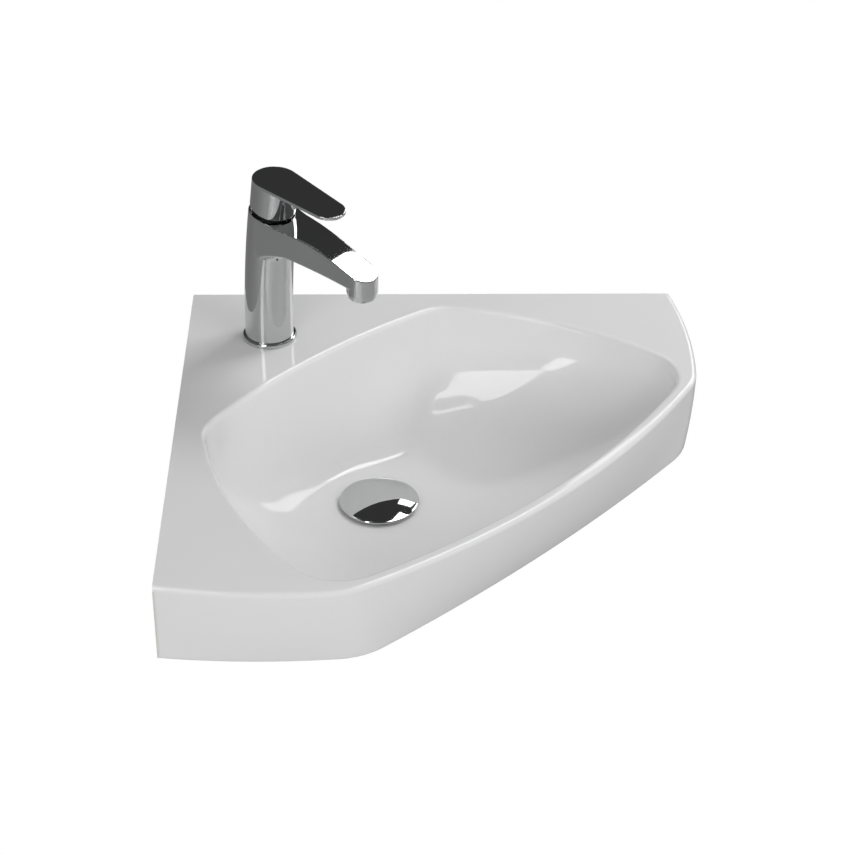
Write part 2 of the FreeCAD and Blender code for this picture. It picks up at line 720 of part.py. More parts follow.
def cartridge_nut():
    """Threaded ring that holds the cartridge down, with six key slots."""
    low, top = KEY_NUT_A
    wide, deep = KEY_SLOT
    nut = tube(SEAT_R - FIT_GAP, KEY_NUT_R, low, top)
    for i in range(6):
        slot = box(KEY_NUT_R - 1.4, KEY_NUT_R + 1.6, -wide / 2, wide / 2, top - deep, top + 1)
        slot.rotate(V(0, 0, 0), V(0, 0, 1), 60 * i)
        nut = nut.cut(slot)
    return leaned(nut)


def cover_ring():
    """Dark trim ring that fills the gap under the lever's skirt."""
    (r_in, r_out), (low, top) = COVER_R, COVER_A
    return leaned(turned([(r_in, low), (r_out, low), (r_out, top - 1.1), (r_out - 0.6, top - 0.3),
                          (r_out - 1.8, top), (r_in, top)]))


# ---------------------------------------------------------------- lever

def paddle_plan():
    """Egg-shaped outline of the lever's top: a large and a small round joined by tangents."""
    big, small, reach = LEVER_BIG_R, LEVER_SMALL_R, LEVER_REACH
    slant = math.asin((big - small) / reach)
    high = V(math.sin(slant), math.cos(slant), 0)
    p, q = high * big, V(reach, 0, 0) + high * small
    return Part.Wire([
        Part.Arc(mirror(p), V(-big, 0, 0), p).toShape(),
        Part.makeLine(p, q),
        Part.Arc(q, V(reach + small, 0, 0), mirror(q)).toShape(),
        Part.makeLine(mirror(q), mirror(p)),
    ])


def paddle():
    """The lever's flat plate, rising a little towards its tip."""
    plate = Part.Face(paddle_plan()).extrude(V(0, 0, -LEVER_THICK))
    plate.rotate(V(0, 0, 0), V(0, 1, 0), -LEVER_RISE)
    plate.translate(V(0, 0, LEVER_TOP_A))
    return plate


def lever():
    """Hollow skirt round the cartridge, paddle on top and a square socket inside."""
    top = LEVER_TOP_A
    under_paddle = box(-60, 60, -60, 60, 0, 60)
    under_paddle.rotate(V(0, 0, 0), V(0, 1, 0), -LEVER_RISE)
    under_paddle.translate(V(0, 0, top - LEVER_THICK / 2))
    skirt = cylinder(SKIRT_R, 0, top + 3).cut(under_paddle)
    clear = box(-60, 60, -60, 60, -60, 0)
    clear.rotate(V(0, 0, 0), V(0, 1, 0), SKIRT_CUT)
    clear.translate(V(0, 0, SKIRT_GAP))
    relief = Part.makeCylinder(RELIEF_R, 30, V(-35, 0, RELIEF_A - RELIEF_R), V(1, 0, 0))
    shape = paddle().fuse(skirt.cut(clear).cut(relief)).removeSplitter()
    shape = shape.makeChamfer(LEVER_EDGE, [e for e in shape.Edges if on_paddle_top(e)])
    inside = cylinder(SKIRT_R - SKIRT_WALL, -5, LEVER_TOP_A - LEVER_THICK - 2.0)
    boss = cylinder(BOSS_R, BOSS_A, LEVER_TOP_A - LEVER_THICK)
    shape = shape.cut(inside).fuse(boss)
    half = SPINDLE / 2 + FIT_GAP
    shape = shape.cut(box(-half, half, -half, half, BOSS_A - 1, SPINDLE_TOP + 0.3))
    bore = Part.makeCylinder(SCREW_R + FIT_GAP, 12, V(-3, 0, SCREW_A), V(-1, 0, 0))
    mouth = Part.makeCylinder(PLUG_R + FIT_GAP, 10, V(-SKIRT_R + 4, 0, SCREW_A), V(-1, 0, 0))
    return leaned(shape.cut(bore).cut(mouth))


def on_paddle_top(e):
    """Picks the edges that lie on the lever's top face or round its lower edge."""
    rise = math.radians(LEVER_RISE)
    up = V(-math.sin(rise), 0, math.cos(rise))
    levels = [(v.Point - V(0, 0, LEVER_TOP_A)).dot(up) for v in e.Vertexes]
    mid = e.valueAt((e.FirstParameter + e.LastParameter) / 2)
    levels.append((mid - V(0, 0, LEVER_TOP_A)).dot(up))
    return all(abs(h) < 0.01 for h in levels)


def lever_set_screw():
    """Grub screw that clamps the lever on the spindle, with a hexagon socket."""
    start = SPINDLE / 2 + 0.1
    screw = Part.makeCylinder(SCREW_R, SCREW_LONG, V(-start, 0, SCREW_A), V(-1, 0, 0))
    key = hexagon(KEY_FLATS, 0, 3.0)
    key.rotate(V(0, 0, 0), V(0, 1, 0), 90)
    key.translate(V(-start - SCREW_LONG - 0.1, 0, SCREW_A))
    return leaned(screw.cut(key))


def lever_plug():
    """Dark cap over the grub screw's hole."""
    depth = SKIRT_WALL - 0.2
    return leaned(Part.makeCylinder(PLUG_R, depth, V(-SKIRT_R + 0.15, 0, SCREW_A), V(1, 0, 0)))


# ---------------------------------------------------------------- aerator

def aerator_top():
    """Height at which the screwed ring ends, under its washer."""
    return BOSS_Z + AERATOR_DEPTH - AERATOR_WASHER_H


def aerator_housing():
    """Screwed ring at the spout's mouth."""
    low, step, top = AERATOR_LOW_Z, BOSS_Z, aerator_top()
    ring = turned([(AERATOR_BORE_R, low), (AERATOR_R - 0.6, low), (AERATOR_R, low + 1.2),
                   (AERATOR_R + 0.4, step), (AERATOR_THREAD_R, step), (AERATOR_THREAD_R, top),
                   (AERATOR_BORE_R, top)])
    ring.translate(V(NOSE_U, 0, 0))
    return on_tap(ring)


def aerator_insert():
    """Flow straightener: a rim round a grid of water passages."""
    low = AERATOR_LOW_Z + 1.0
    core = cylinder(INSERT_R, low, aerator_top())
    for ring_r, count in PASSAGE_RINGS:
        for i in range(count):
            a = 2 * math.pi * i / count
            x, y = ring_r * math.cos(a), ring_r * math.sin(a)
            core = core.cut(cylinder(PASSAGE_R, low - 1, low + PASSAGE_DEPTH, x, y))
    core.translate(V(NOSE_U, 0, 0))
    return on_tap(core)


def aerator_washer():
    """Flat seal between the screwed ring and the spout."""
    low = aerator_top()
    ring = tube(AERATOR_THREAD_R - 0.2, AERATOR_WASHER_R, low, low + AERATOR_WASHER_H)
    ring.translate(V(NOSE_U, 0, 0))
    return on_tap(ring)


# ---------------------------------------------------------------- waste

def at_drain(shape):
    """Puts a piece drawn about its own axis over the drain."""
    shape.translate(V(DRAIN_S, 0, 0))
    return shape


def waste_cap():
    """Shallow domed cover with a thin upright rim and a threaded stub underneath."""
    rim, low = CAP_RIM_Z, CAP_RIM_Z - CAP_RIM_H
    edge_r, hollow_r, hollow_z = CAP_R - 0.6, CAP_R - 4.0, low + 0.8
    dome_r = (CAP_R ** 2 + CAP_RISE ** 2) / (2 * CAP_RISE)

    def dome(r):
        return V(r, 0, rim + CAP_RISE - dome_r + math.sqrt(dome_r ** 2 - r ** 2))
    crown = Part.Arc(dome(0), dome(edge_r / 2), dome(edge_r)).toShape()
    corners = [(edge_r, dome(edge_r).z), (CAP_R, rim - 0.5), (CAP_R, low), (hollow_r, low),
               (hollow_r, hollow_z), (STUB_R, hollow_z), (STUB_R, low - STUB_DROP),
               (PLUNGER_THREAD_R, low - STUB_DROP), (PLUNGER_THREAD_R, low), (0, low), (0, dome(0).z)]
    edge = Part.makePolygon([V(r, 0, z) for r, z in corners])
    section = Part.Face(Part.Wire([crown] + edge.Edges))
    return at_drain(section.revolve(V(0, 0, 0), V(0, 0, 1), 360))


def cap_seal():
    """Rubber ring under the cover, which closes on the flange."""
    low = CAP_RIM_Z - CAP_RIM_H
    return at_drain(tube(CAP_SEAL_R[1], CAP_SEAL_R[0], flange_top() + FACE_GAP, low + 0.8))


def plunger():
    """Pin under the cover, with the collar that the spring pushes up."""
    low = CAP_RIM_Z - CAP_RIM_H
    shaft = cylinder(PLUNGER_R, PLUNGER_END_Z, low - STUB_DROP)
    collar = cylinder(CLICK_BORE_R - 0.2, PLUNGER_COLLAR_Z, PLUNGER_COLLAR_Z + COLLAR_H)
    thread = cylinder(PLUNGER_THREAD_R, low - 5.0, low - 0.5)
    return at_drain(shaft.fuse([collar, thread]))


def gasket_top():
    """Height at which the waste's flange lies on its gasket."""
    return -BOWL_DEPTH - FLANGE_RECESS + FLANGE_GASKET_H


def flange_top():
    return gasket_top() + FLANGE_THICK


def waste_body():
    """Flanged and threaded tail with three arms that carry the click mechanism."""
    top = flange_top()
    low = top - FLANGE_THICK
    tail = turned([(TAIL_BORE_R, TAIL_END_Z), (TAIL_R - 1.0, TAIL_END_Z), (TAIL_R, TAIL_END_Z + 1.2),
                   (TAIL_R, GROOVE_Z[0]), (GROOVE_R, GROOVE_Z[0]), (GROOVE_R, GROOVE_Z[1]),
                   (TAIL_R, GROOVE_Z[1]), (TAIL_R, low), (FLANGE_R, low), (FLANGE_R, top - 0.8),
                   (FLANGE_R - 0.8, top), (TAIL_BORE_R + 3.0, top), (TAIL_BORE_R, top - 2.0)])
    hub = cylinder(HUB_R, ARM_Z, ARM_Z + 8)
    arms = []
    for i in range(3):
        arm = box(0, TAIL_BORE_R + 1, -1.5, 1.5, ARM_Z, ARM_Z + 6)
        arm.rotate(V(0, 0, 0), V(0, 0, 1), 120 * i)
        arms.append(arm)
    shape = tail.fuse(arms + [hub])
    return at_drain(shape.cut(cylinder(CLICK_R + FIT_GAP, ARM_Z - 1, ARM_Z + 9)).removeSplitter())


def click_body():
    """Closed sleeve screwed into the hub, in which the plunger latches."""
    sleeve = turned([(0, CLICK_LOW_Z), (CLICK_R, CLICK_LOW_Z), (CLICK_R, CLICK_TOP_Z),
                     (PLUNGER_R + 0.1, CLICK_TOP_Z), (PLUNGER_R + 0.1, CLICK_TOP_Z - 2.0),
                     (CLICK_BORE_R, CLICK_TOP_Z - 2.0), (CLICK_BORE_R, CLICK_LOW_Z + 2.0),
                     (0, CLICK_LOW_Z + 2.0)])
    collar = tube(HUB_R, CLICK_R - 0.5, ARM_Z + 8, ARM_Z + 10)
    return at_drain(sleeve.fuse(collar))


def click_spring():
    """Coil of flat wire between the sleeve's floor and the plunger's collar."""
    half = SPRING_WIRE / 2
    low = CLICK_LOW_Z + 2.0 + half
    rise = PLUNGER_COLLAR_Z - half - low
    coil_r = CLICK_BORE_R - half - 0.4
    turns = Part.makeHelix(rise / SPRING_TURNS, rise, coil_r)
    square = Part.makePolygon([V(coil_r + x * half, 0, z * half)
                               for x, z in ((-1, -1), (1, -1), (1, 1), (-1, 1), (-1, -1))])
    coil = Part.Wire(turns).makePipeShell([square], True, True)
    coil.translate(V(0, 0, low))
    return at_drain(coil)


def flange_gasket():
    """Thin seal between the waste's flange and the bowl."""
    top = gasket_top()
    return at_drain(tube(FLANGE_R - 0.5, TAIL_R + 1.0, top - FLANGE_GASKET_H, top))


def cone_washer():
    """Tapered rubber that seals the tail under the bowl."""
    r, top, low = CONE_WASHER_R, WASHER_TOP_Z, WASHER_TOP_Z - CONE_WASHER_H
    return at_drain(turned([(TAIL_R + 0.1, low), (r - 1.0, low), (r, (low + top) / 2), (r, top),
                            (TAIL_R + 0.1, top)]))


def slip_washer():
    """Hard washer on which the nut turns."""
    top = WASHER_TOP_Z - CONE_WASHER_H
    return at_drain(tube(SLIP_WASHER[0], TAIL_R + 0.3, top - SLIP_WASHER[1], top))


def back_nut():
    """Flanged hexagon nut on the tail."""
    top = WASHER_TOP_Z - CONE_WASHER_H - SLIP_WASHER[1]
    flange_r, flange_h = BACK_NUT_FLANGE
    nut = hexagon(BACK_NUT_FLATS, top - BACK_NUT_H, top - 2.0).fuse(cylinder(flange_r, top - flange_h, top))
    return at_drain(nut.cut(cylinder(TAIL_R + FIT_GAP, top - 20, top + 1)))


# ---------------------------------------------------------------- the whole basin

PIECES = {
    "basin": basin,
    "tap_body": tap_body,
    "base_ring": base_ring,
    "base_gasket": base_gasket,
    "fixing_stud": fixing_stud,
    "horseshoe_seal": horseshoe_seal,
    "horseshoe_plate": horseshoe_plate,
    "fixing_nut": fixing_nut,
    "cartridge_base": cartridge_base,
    "cartridge_seals": cartridge_seals,
    "fixed_disc": fixed_disc,
    "moving_disc": moving_disc,
    "disc_driver": disc_driver,
    "cartridge_housing": cartridge_housing,
    "turning_carrier": turning_carrier,
    "pivot_pin": pivot_pin,
    "spindle": spindle,
    "cartridge_nut": cartridge_nut,
    "cover_ring": cover_ring,
    "lever": lever,
    "lever_set_screw": lever_set_screw,
    "lever_plug": lever_plug,
    "aerator_housing": aerator_housing,
    "aerator_insert": aerator_insert,
    "aerator_washer": aerator_washer,
    "waste_cap": waste_cap,
    "cap_seal": cap_seal,
    "plunger": plunger,
    "waste_body": waste_body,
    "flange_gasket": flange_gasket,
    "cone_washer": cone_washer,
    "slip_washer": slip_washer,
    "back_nut": back_nut,
    "click_body": click_body,
    "click_spring": click_spring,
}


def single(shape):
    """A lone solid out of the group that a cut or a join leaves it in."""
    return shape.Solids[0] if len(shape.Solids) == 1 else Part.makeCompound(shape.Solids)


def write_pieces():
    os.makedirs("parts", exist_ok=True)
    for name, make in PIECES.items():
        shape = single(make())
        shape.rotate(V(0, 0, 0), V(0, 0, 1), WALL_TURN)
        shape.exportStep("parts/" + name + ".step")
        print(name, "sound" if shape.isValid() else "BROKEN", len(shape.Solids),
              round(shape.Volume / 1000.0, 2), "cm3")


if __name__ == "__main__":
    write_pieces()
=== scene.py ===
import bmesh, bpy, json, math
import numpy as np
from mathutils import Matrix, Vector

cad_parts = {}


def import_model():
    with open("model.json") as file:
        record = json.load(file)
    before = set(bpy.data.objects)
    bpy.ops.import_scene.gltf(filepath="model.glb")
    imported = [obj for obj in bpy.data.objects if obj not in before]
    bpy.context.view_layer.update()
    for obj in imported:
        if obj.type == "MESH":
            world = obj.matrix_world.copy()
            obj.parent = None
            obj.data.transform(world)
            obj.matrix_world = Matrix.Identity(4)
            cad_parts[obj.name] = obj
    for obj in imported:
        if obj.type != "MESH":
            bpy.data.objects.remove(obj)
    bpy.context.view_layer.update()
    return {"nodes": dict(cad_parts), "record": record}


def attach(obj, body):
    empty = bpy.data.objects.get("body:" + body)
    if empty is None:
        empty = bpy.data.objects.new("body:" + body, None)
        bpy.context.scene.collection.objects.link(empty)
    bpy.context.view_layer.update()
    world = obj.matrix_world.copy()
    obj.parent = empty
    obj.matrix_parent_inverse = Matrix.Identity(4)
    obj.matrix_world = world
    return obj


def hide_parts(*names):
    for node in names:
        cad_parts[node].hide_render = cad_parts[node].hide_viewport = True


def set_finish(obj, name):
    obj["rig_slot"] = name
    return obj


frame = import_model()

# Lengths are millimetres in here and metres in Blender. s runs along the diagonal from the
# wall corner, t across it, z up from the rim.
MM = 0.001
R2 = math.sqrt(2.0)


# ---------------- meshes

def to_row(points):
    """(s, t, z) in millimetres to the row frame in metres."""
    p = np.asarray(points, float)
    s, t, z = p[..., 0], p[..., 1], p[..., 2]
    return np.stack([(s + t) / R2, (t - s) / R2, z], -1) * MM


def new_object(name, data):
    """An object in the scene."""
    obj = bpy.data.objects.new(name, data)
    bpy.context.scene.collection.objects.link(obj)
    return obj


def make(name, points, faces, body, replaces=(), slot=None, smooth=None):
    """A piece from points in the row frame and faces; edges sharper than the angle, if given, stay crisp."""
    mesh = bpy.data.meshes.new(name)
    mesh.from_pydata([tuple(p) for p in points], [], [tuple(int(i) for i in f) for f in faces])
    mesh.validate()
    mesh.update()
    mesh.polygons.foreach_set("use_smooth", [True] * len(mesh.polygons))
    if smooth:
        mesh.set_sharp_from_angle(angle=math.radians(smooth))
    obj = new_object(name, mesh)
    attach(obj, body)
    if replaces:
        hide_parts(*replaces)
    if slot:
        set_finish(obj, slot)
    return obj


def outwards(mesh, weld=0.0):
    """Turns every face of a closed mesh outwards; points nearer than weld are made one first."""
    bm = bmesh.new()
    bm.from_mesh(mesh)
    if weld:
        bmesh.ops.remove_doubles(bm, verts=bm.verts, dist=weld)
        bmesh.ops.dissolve_degenerate(bm, edges=bm.edges, dist=weld)
    bmesh.ops.recalc_face_normals(bm, faces=bm.faces)
    bm.to_mesh(mesh)
    bm.free()


def grid_faces(rows, cols, wrap_rows=False, start=0):
    """Quads between rows of points that each close on themselves."""
    faces = []
    for i in range(rows if wrap_rows else rows - 1):
        j = (i + 1) % rows
        for k in range(cols):
            m = (k + 1) % cols
            faces.append((start + i * cols + k, start + i * cols + m,
                          start + j * cols + m, start + j * cols + k))
    return faces


# ---------------- basin, on the CAD's dimensions

# Pairs are at the rim and at the apron's lower edge.
LEG, APRON_DEPTH, APRON_SWEEP_R = 450.0, 71.0, 152.0
END_R, END_PEAK = (460.0, 680.0), (98.0, 85.0)
FRONT_R, FRONT_S, FRONT_CORNER_R = (764.0, 2000.0), (462.0, 444.8), (60.0, 65.0)
WALL_THICK, DECK_THICK, OUTER_EDGE_R, LOW_EDGE_R = 10.0, 11.0, 4.0, 2.0
OUTLINE_COUNTS = (40, 50, 60, 90)       # points along a wall, an end, its corner and half the front

# Bowl: where its rim crosses the diagonal and is widest, its arcs, and how each wall falls
BACK_S, BACK_R, FRONT_RIM_S, FRONT_RIM_R = 164.0, 700.0, 449.0, 750.0
SIDE_PEAK_S, SIDE_HALF_W, SIDE_R = 409.0, 223.7, 370.0
REAR_CORNER_R, FORE_CORNER_R = 36.0, 47.0
BACK_FALL, SIDE_FALL, FRONT_FALL = 3.0, 2.0, 1.7     # 2 is an even quarter round, higher is squarer
BOWL_DEPTH, BOWL_SHELL, FLOOR_SPARE, INNER_EDGE_R = 118.0, 9.0, 1.0, 4.5
DRAIN_S, FLOOR_R, DRAIN_HOLE_R, RECESS_R, RECESS = 246.7, 41.0, 23.0, 33.0, 2.0
APRON_RINGS, LOW_EDGE_RINGS = 18, 6
CREASE = 1.5                            # a flat ring this wide keeps a round edge's shading apart

# Holes: radius, and places from the walls and the rim
TAP_HOLE_R, TAP_FROM_WALL = 17.5, 75.0
BOLT_HOLE_R, BOLT_FROM_CORNER, BOLT_DROP = 8.0, 150.0, 36.0


def blend(a, b, k):
    """From a to b by the share k."""
    return a + (b - a) * k


def bow(a, b, k):
    """A radius between two by the share k, even in its curvature."""
    return 1.0 / blend(1.0 / a, 1.0 / b, k)


def circles_meet(c1, r1, c2, r2, near):
    """Where two circles cross, on the side of a point."""
    d = c2 - c1
    gap = np.linalg.norm(d)
    along = (r1 * r1 - r2 * r2 + gap * gap) / (2 * gap)
    off = math.sqrt(max(r1 * r1 - along * along, 0.0))
    e = d / gap
    side = np.array([-e[1], e[0]])
    found = [c1 + e * along + side * off, c1 + e * along - side * off]
    return min(found, key=lambda p: np.linalg.norm(p - near))


def corner(c1, r1, c2, r2, r, near):
    """A round of radius r inside two circles: its centre and where it touches each."""
    c = circles_meet(c1, r1 - r, c2, r2 - r, near)
    return c, c1 + (c - c1) * (r1 / (r1 - r)), c2 + (c - c2) * (r2 / (r2 - r))


def arc(c, r, p, q, count):
    """Points from p towards q round c, without the last."""
    a, b = math.atan2(*(p - c)[::-1]), math.atan2(*(q - c)[::-1])
    turn = (b - a + math.pi) % (2 * math.pi) - math.pi
    k = np.arange(count) / count
    return np.stack([c[0] + r * np.cos(a + turn * k), c[1] + r * np.sin(a + turn * k)], -1)


def line(p, q, count):
    """Points from p towards q, without the last."""
    k = (np.arange(count) / count)[:, None]
    return p + (q - p) * k


def outline(depth, inset=0.0, wall=0.0):
    """Outer outline at a depth, from the wall corner round by the front: equal counts at every depth.
    inset moves the ends and the front in, wall moves the two wall sides in."""
    def swept(z):
        return APRON_SWEEP_R - math.sqrt(APRON_SWEEP_R ** 2 - z * z)
    k = swept(min(depth, APRON_DEPTH)) / swept(APRON_DEPTH)
    end_r, peak = bow(*END_R, k), blend(*END_PEAK, k)
    cy = -LEG + math.sqrt(end_r ** 2 - peak ** 2)
    end_c = np.array([(peak - cy) / R2, -(peak + cy) / R2])
    front_r, apex_s = bow(*FRONT_R, k), blend(*FRONT_S, k)
    front_c = np.array([apex_s - front_r, 0.0])
    end_r, front_r, corner_r = end_r - inset, front_r - inset, blend(*FRONT_CORNER_R, k) - inset
    along, start = np.array([1, 1]) / R2, np.array([1, -1]) / R2 * wall
    rel = start - end_c
    b = rel @ along
    wall_end = start + along * (-b + math.sqrt(b * b - rel @ rel + end_r ** 2))
    apex, mid = np.array([wall * R2, 0.0]), np.array([apex_s - inset, 0.0])
    cc, on_end, on_front = corner(end_c, end_r, front_c, front_r, corner_r, np.array([apex_s - 70, 200.0]))
    on_wall, on_end_face, on_corner, on_half_front = OUTLINE_COUNTS
    half = np.concatenate([line(apex, wall_end, on_wall), arc(end_c, end_r, wall_end, on_end, on_end_face),
                           arc(cc, corner_r, on_end, on_front, on_corner),
                           arc(front_c, front_r, on_front, mid, on_half_front)])
    return np.concatenate([half, mid[None], half[:0:-1] * np.array([1, -1])])


def bowl_rim(grow):
    """Outline of the bowl at the rim, dense, from the tap side's middle round by +t."""
    back_c, front_c = np.array([BACK_S + BACK_R, 0.0]), np.array([FRONT_RIM_S - FRONT_RIM_R, 0.0])
    side_c = np.array([SIDE_PEAK_S, SIDE_HALF_W - SIDE_R])
    back_r, front_r, side_r = BACK_R + grow, FRONT_RIM_R + grow, SIDE_R + grow
    rear_r, fore_r = REAR_CORNER_R + grow, FORE_CORNER_R + grow
    rear_c, on_back, on_rear = corner(back_c, back_r, side_c, side_r, rear_r,
                                      np.array([BACK_S, SIDE_HALF_W]))
    fore_c, on_fore, on_front = corner(side_c, side_r, front_c, front_r, fore_r,
                                       np.array([FRONT_RIM_S, SIDE_HALF_W]))
    first, last = np.array([BACK_S - grow, 0.0]), np.array([FRONT_RIM_S + grow, 0.0])
    half = np.concatenate([
        arc(back_c, back_r, first, on_back, 300), arc(rear_c, rear_r, on_back, on_rear, 200),
        arc(side_c, side_r, on_rear, on_fore, 400), arc(fore_c, fore_r, on_fore, on_front, 200),
        arc(front_c, front_r, on_front, last, 400)])
    return np.concatenate([half, last[None], half[:0:-1] * np.array([1, -1])])


class Bowl:
    """The bowl's wall by polar angle round the drain, where 0 points to the front."""

    def __init__(self, depth, grow):
        self.depth, self.dish = depth, FLOOR_R + grow
        rim = bowl_rim(grow)
        step = np.roll(rim, -1, 0) - np.roll(rim, 1, 0)
        normal = np.stack([-step[:, 1], step[:, 0]], -1)
        normal /= np.linalg.norm(normal, axis=1)[:, None]
        ray = rim - [DRAIN_S, 0.0]
        angle = np.arctan2(ray[:, 1], ray[:, 0])
        order = np.argsort(angle)
        pick = np.concatenate([order[-3:], order, order[:3]])
        self.angle = angle[pick]
        self.angle[:3] -= 2 * math.pi
        self.angle[-3:] += 2 * math.pi
        self.radius = np.linalg.norm(ray, axis=1)[pick]
        out = np.where(((normal * ray).sum(1) > 0)[:, None], normal, -normal)
        self.normal = out[pick]

    def at(self, angle, z, widen=0.0):
        """Points (s, t, z) of the wall; widen moves them out along the rim's own normal."""
        z = np.broadcast_to(z, angle.shape)
        radius = np.interp(angle, self.angle, self.radius)
        front, back = np.maximum(np.cos(angle), 0) ** 2, np.maximum(-np.cos(angle), 0) ** 2
        power = SIDE_FALL + (FRONT_FALL - SIDE_FALL) * front + (BACK_FALL - SIDE_FALL) * back
        share = np.clip(-z / self.depth, 0, 1)
        out = np.maximum(1 - share ** power, 0) ** (1 / power)
        r = self.dish + (radius - self.dish) * out
        n = np.stack([np.interp(angle, self.angle, self.normal[:, i]) for i in (0, 1)], -1)
        n /= np.linalg.norm(n, axis=1)[:, None]
        flat = np.stack([DRAIN_S + r * np.cos(angle), r * np.sin(angle)], -1) + n * widen
        return np.concatenate([flat, z[:, None]], 1)


def flat_ring(points, z):
    """An outline laid at one height."""
    return np.concatenate([points, np.full((len(points), 1), float(z))], 1)


def polar(points):
    """Angles of points round the drain."""
    return np.arctan2(points[:, 1], points[:, 0] - DRAIN_S)


def circle_at(angle, r, z):
    """A circle round the drain."""
    return np.stack([DRAIN_S + r * np.cos(angle), r * np.sin(angle), np.full(angle.shape, float(z))], -1)


def basin_rings():
    """Rings of points from the drain hole up the bowl, over the deck, down the apron and back below."""
    angle = polar(outline(0.0, OUTER_EDGE_R))
    bowl, shell = Bowl(BOWL_DEPTH, 0.0), Bowl(BOWL_DEPTH + BOWL_SHELL + FLOOR_SPARE, BOWL_SHELL)
    recess_z = -BOWL_DEPTH - RECESS
    rings = [circle_at(angle, r, z) for r, z in (
        (DRAIN_HOLE_R, recess_z - 4.0), (DRAIN_HOLE_R, recess_z - .3), (DRAIN_HOLE_R + .3, recess_z),
        (RECESS_R - .3, recess_z), (RECESS_R, recess_z + .3), (RECESS_R, -BOWL_DEPTH - .5),
        (RECESS_R + .5, -BOWL_DEPTH), (RECESS_R + 3.0, -BOWL_DEPTH), (FLOOR_R - 2.0, -BOWL_DEPTH))]
    for phi in np.radians(np.linspace(90.0, math.degrees(math.asin(INNER_EDGE_R / BOWL_DEPTH)), 64)):
        rings.append(bowl.at(angle, -BOWL_DEPTH * math.sin(phi)))
    for beta in np.radians(np.linspace(80.0, 0.0, 9)):
        rings.append(bowl.at(angle, INNER_EDGE_R * (math.cos(beta) - 1),
                             INNER_EDGE_R * (1 - math.sin(beta))))
    rings[-1][:, 2] = 0.0
    rings.append(bowl.at(angle, 0.0, INNER_EDGE_R + CREASE))
    rings.append(flat_ring(outline(0.0, OUTER_EDGE_R + CREASE, CREASE), 0.0))
    for beta in np.radians(np.linspace(0.0, 90.0, 9)):
        z = OUTER_EDGE_R * (math.cos(beta) - 1)
        rings.append(flat_ring(outline(-z, OUTER_EDGE_R * (1 - math.sin(beta))), z))
    for depth in np.linspace(OUTER_EDGE_R + CREASE, APRON_DEPTH - LOW_EDGE_R, APRON_RINGS):
        rings.append(flat_ring(outline(depth), -depth))
    for beta in np.radians(np.linspace(15.0, 90.0, LOW_EDGE_RINGS)):
        z = -APRON_DEPTH + LOW_EDGE_R * (1 - math.sin(beta))
        rings.append(flat_ring(outline(-z, LOW_EDGE_R * (1 - math.cos(beta))), z))
    glazed_rings = len(rings)
    # below: up the apron's inside to the deck, or to where the bowl's shell stands in the way
    levels = np.linspace(-APRON_DEPTH, -DECK_THICK, 31)
    walls = np.stack([outline(-z, WALL_THICK, WALL_THICK) for z in levels])
    reach = np.linalg.norm(walls - [DRAIN_S, 0.0], axis=2)
    hull = np.stack([np.linalg.norm(shell.at(polar(w), z)[:, :2] - [DRAIN_S, 0.0], axis=1)
                     for w, z in zip(walls, levels)])
    count = walls.shape[1]
    top = np.full(count, -DECK_THICK)
    for i in range(count):
        crossed = np.nonzero(reach[:, i] < hull[:, i])[0]
        if len(crossed):
            j = crossed[0]
            a, b = reach[j - 1, i] - hull[j - 1, i], reach[j, i] - hull[j, i]
            top[i] = blend(levels[j - 1], levels[j], a / (a - b))
    for k in np.linspace(0.0, 1.0, 10):
        z = blend(-APRON_DEPTH, top, k)
        place = np.stack([[np.interp(z[i], levels, walls[:, i, c]) for c in (0, 1)] for i in range(count)])
        rings.append(np.concatenate([place, z[:, None]], 1))
    under = polar(rings[-1])
    start = np.arcsin(-top / shell.depth)
    for k in np.linspace(0.0, 1.0, 34):
        rings.append(shell.at(under, -shell.depth * np.sin(blend(start, math.pi / 2, k))))
    rings += [circle_at(under, r, -shell.depth) for r in (FLOOR_R - 1.0, DRAIN_HOLE_R + .3)]
    rings.append(circle_at(under, DRAIN_HOLE_R, -shell.depth + .3))
    return rings, glazed_rings


def cut(obj, cutters):
    """Takes cylinders (radius, length, centre, direction, in metres) out of a piece."""
    for r, length, centre, direction in cutters:
        bpy.ops.mesh.primitive_cylinder_add(vertices=96, radius=r, depth=length, location=centre,
                                            rotation=Vector(direction).to_track_quat("Z", "Y").to_euler())
        tool = bpy.context.object
        mod = obj.modifiers.new("cut", "BOOLEAN")
        mod.object, mod.operation, mod.solver = tool, "DIFFERENCE", "EXACT"
        fresh = bpy.data.meshes.new_from_object(obj.evaluated_get(bpy.context.evaluated_depsgraph_get()))
        obj.modifiers.clear()
        obj.data = fresh
        bpy.data.objects.remove(tool)


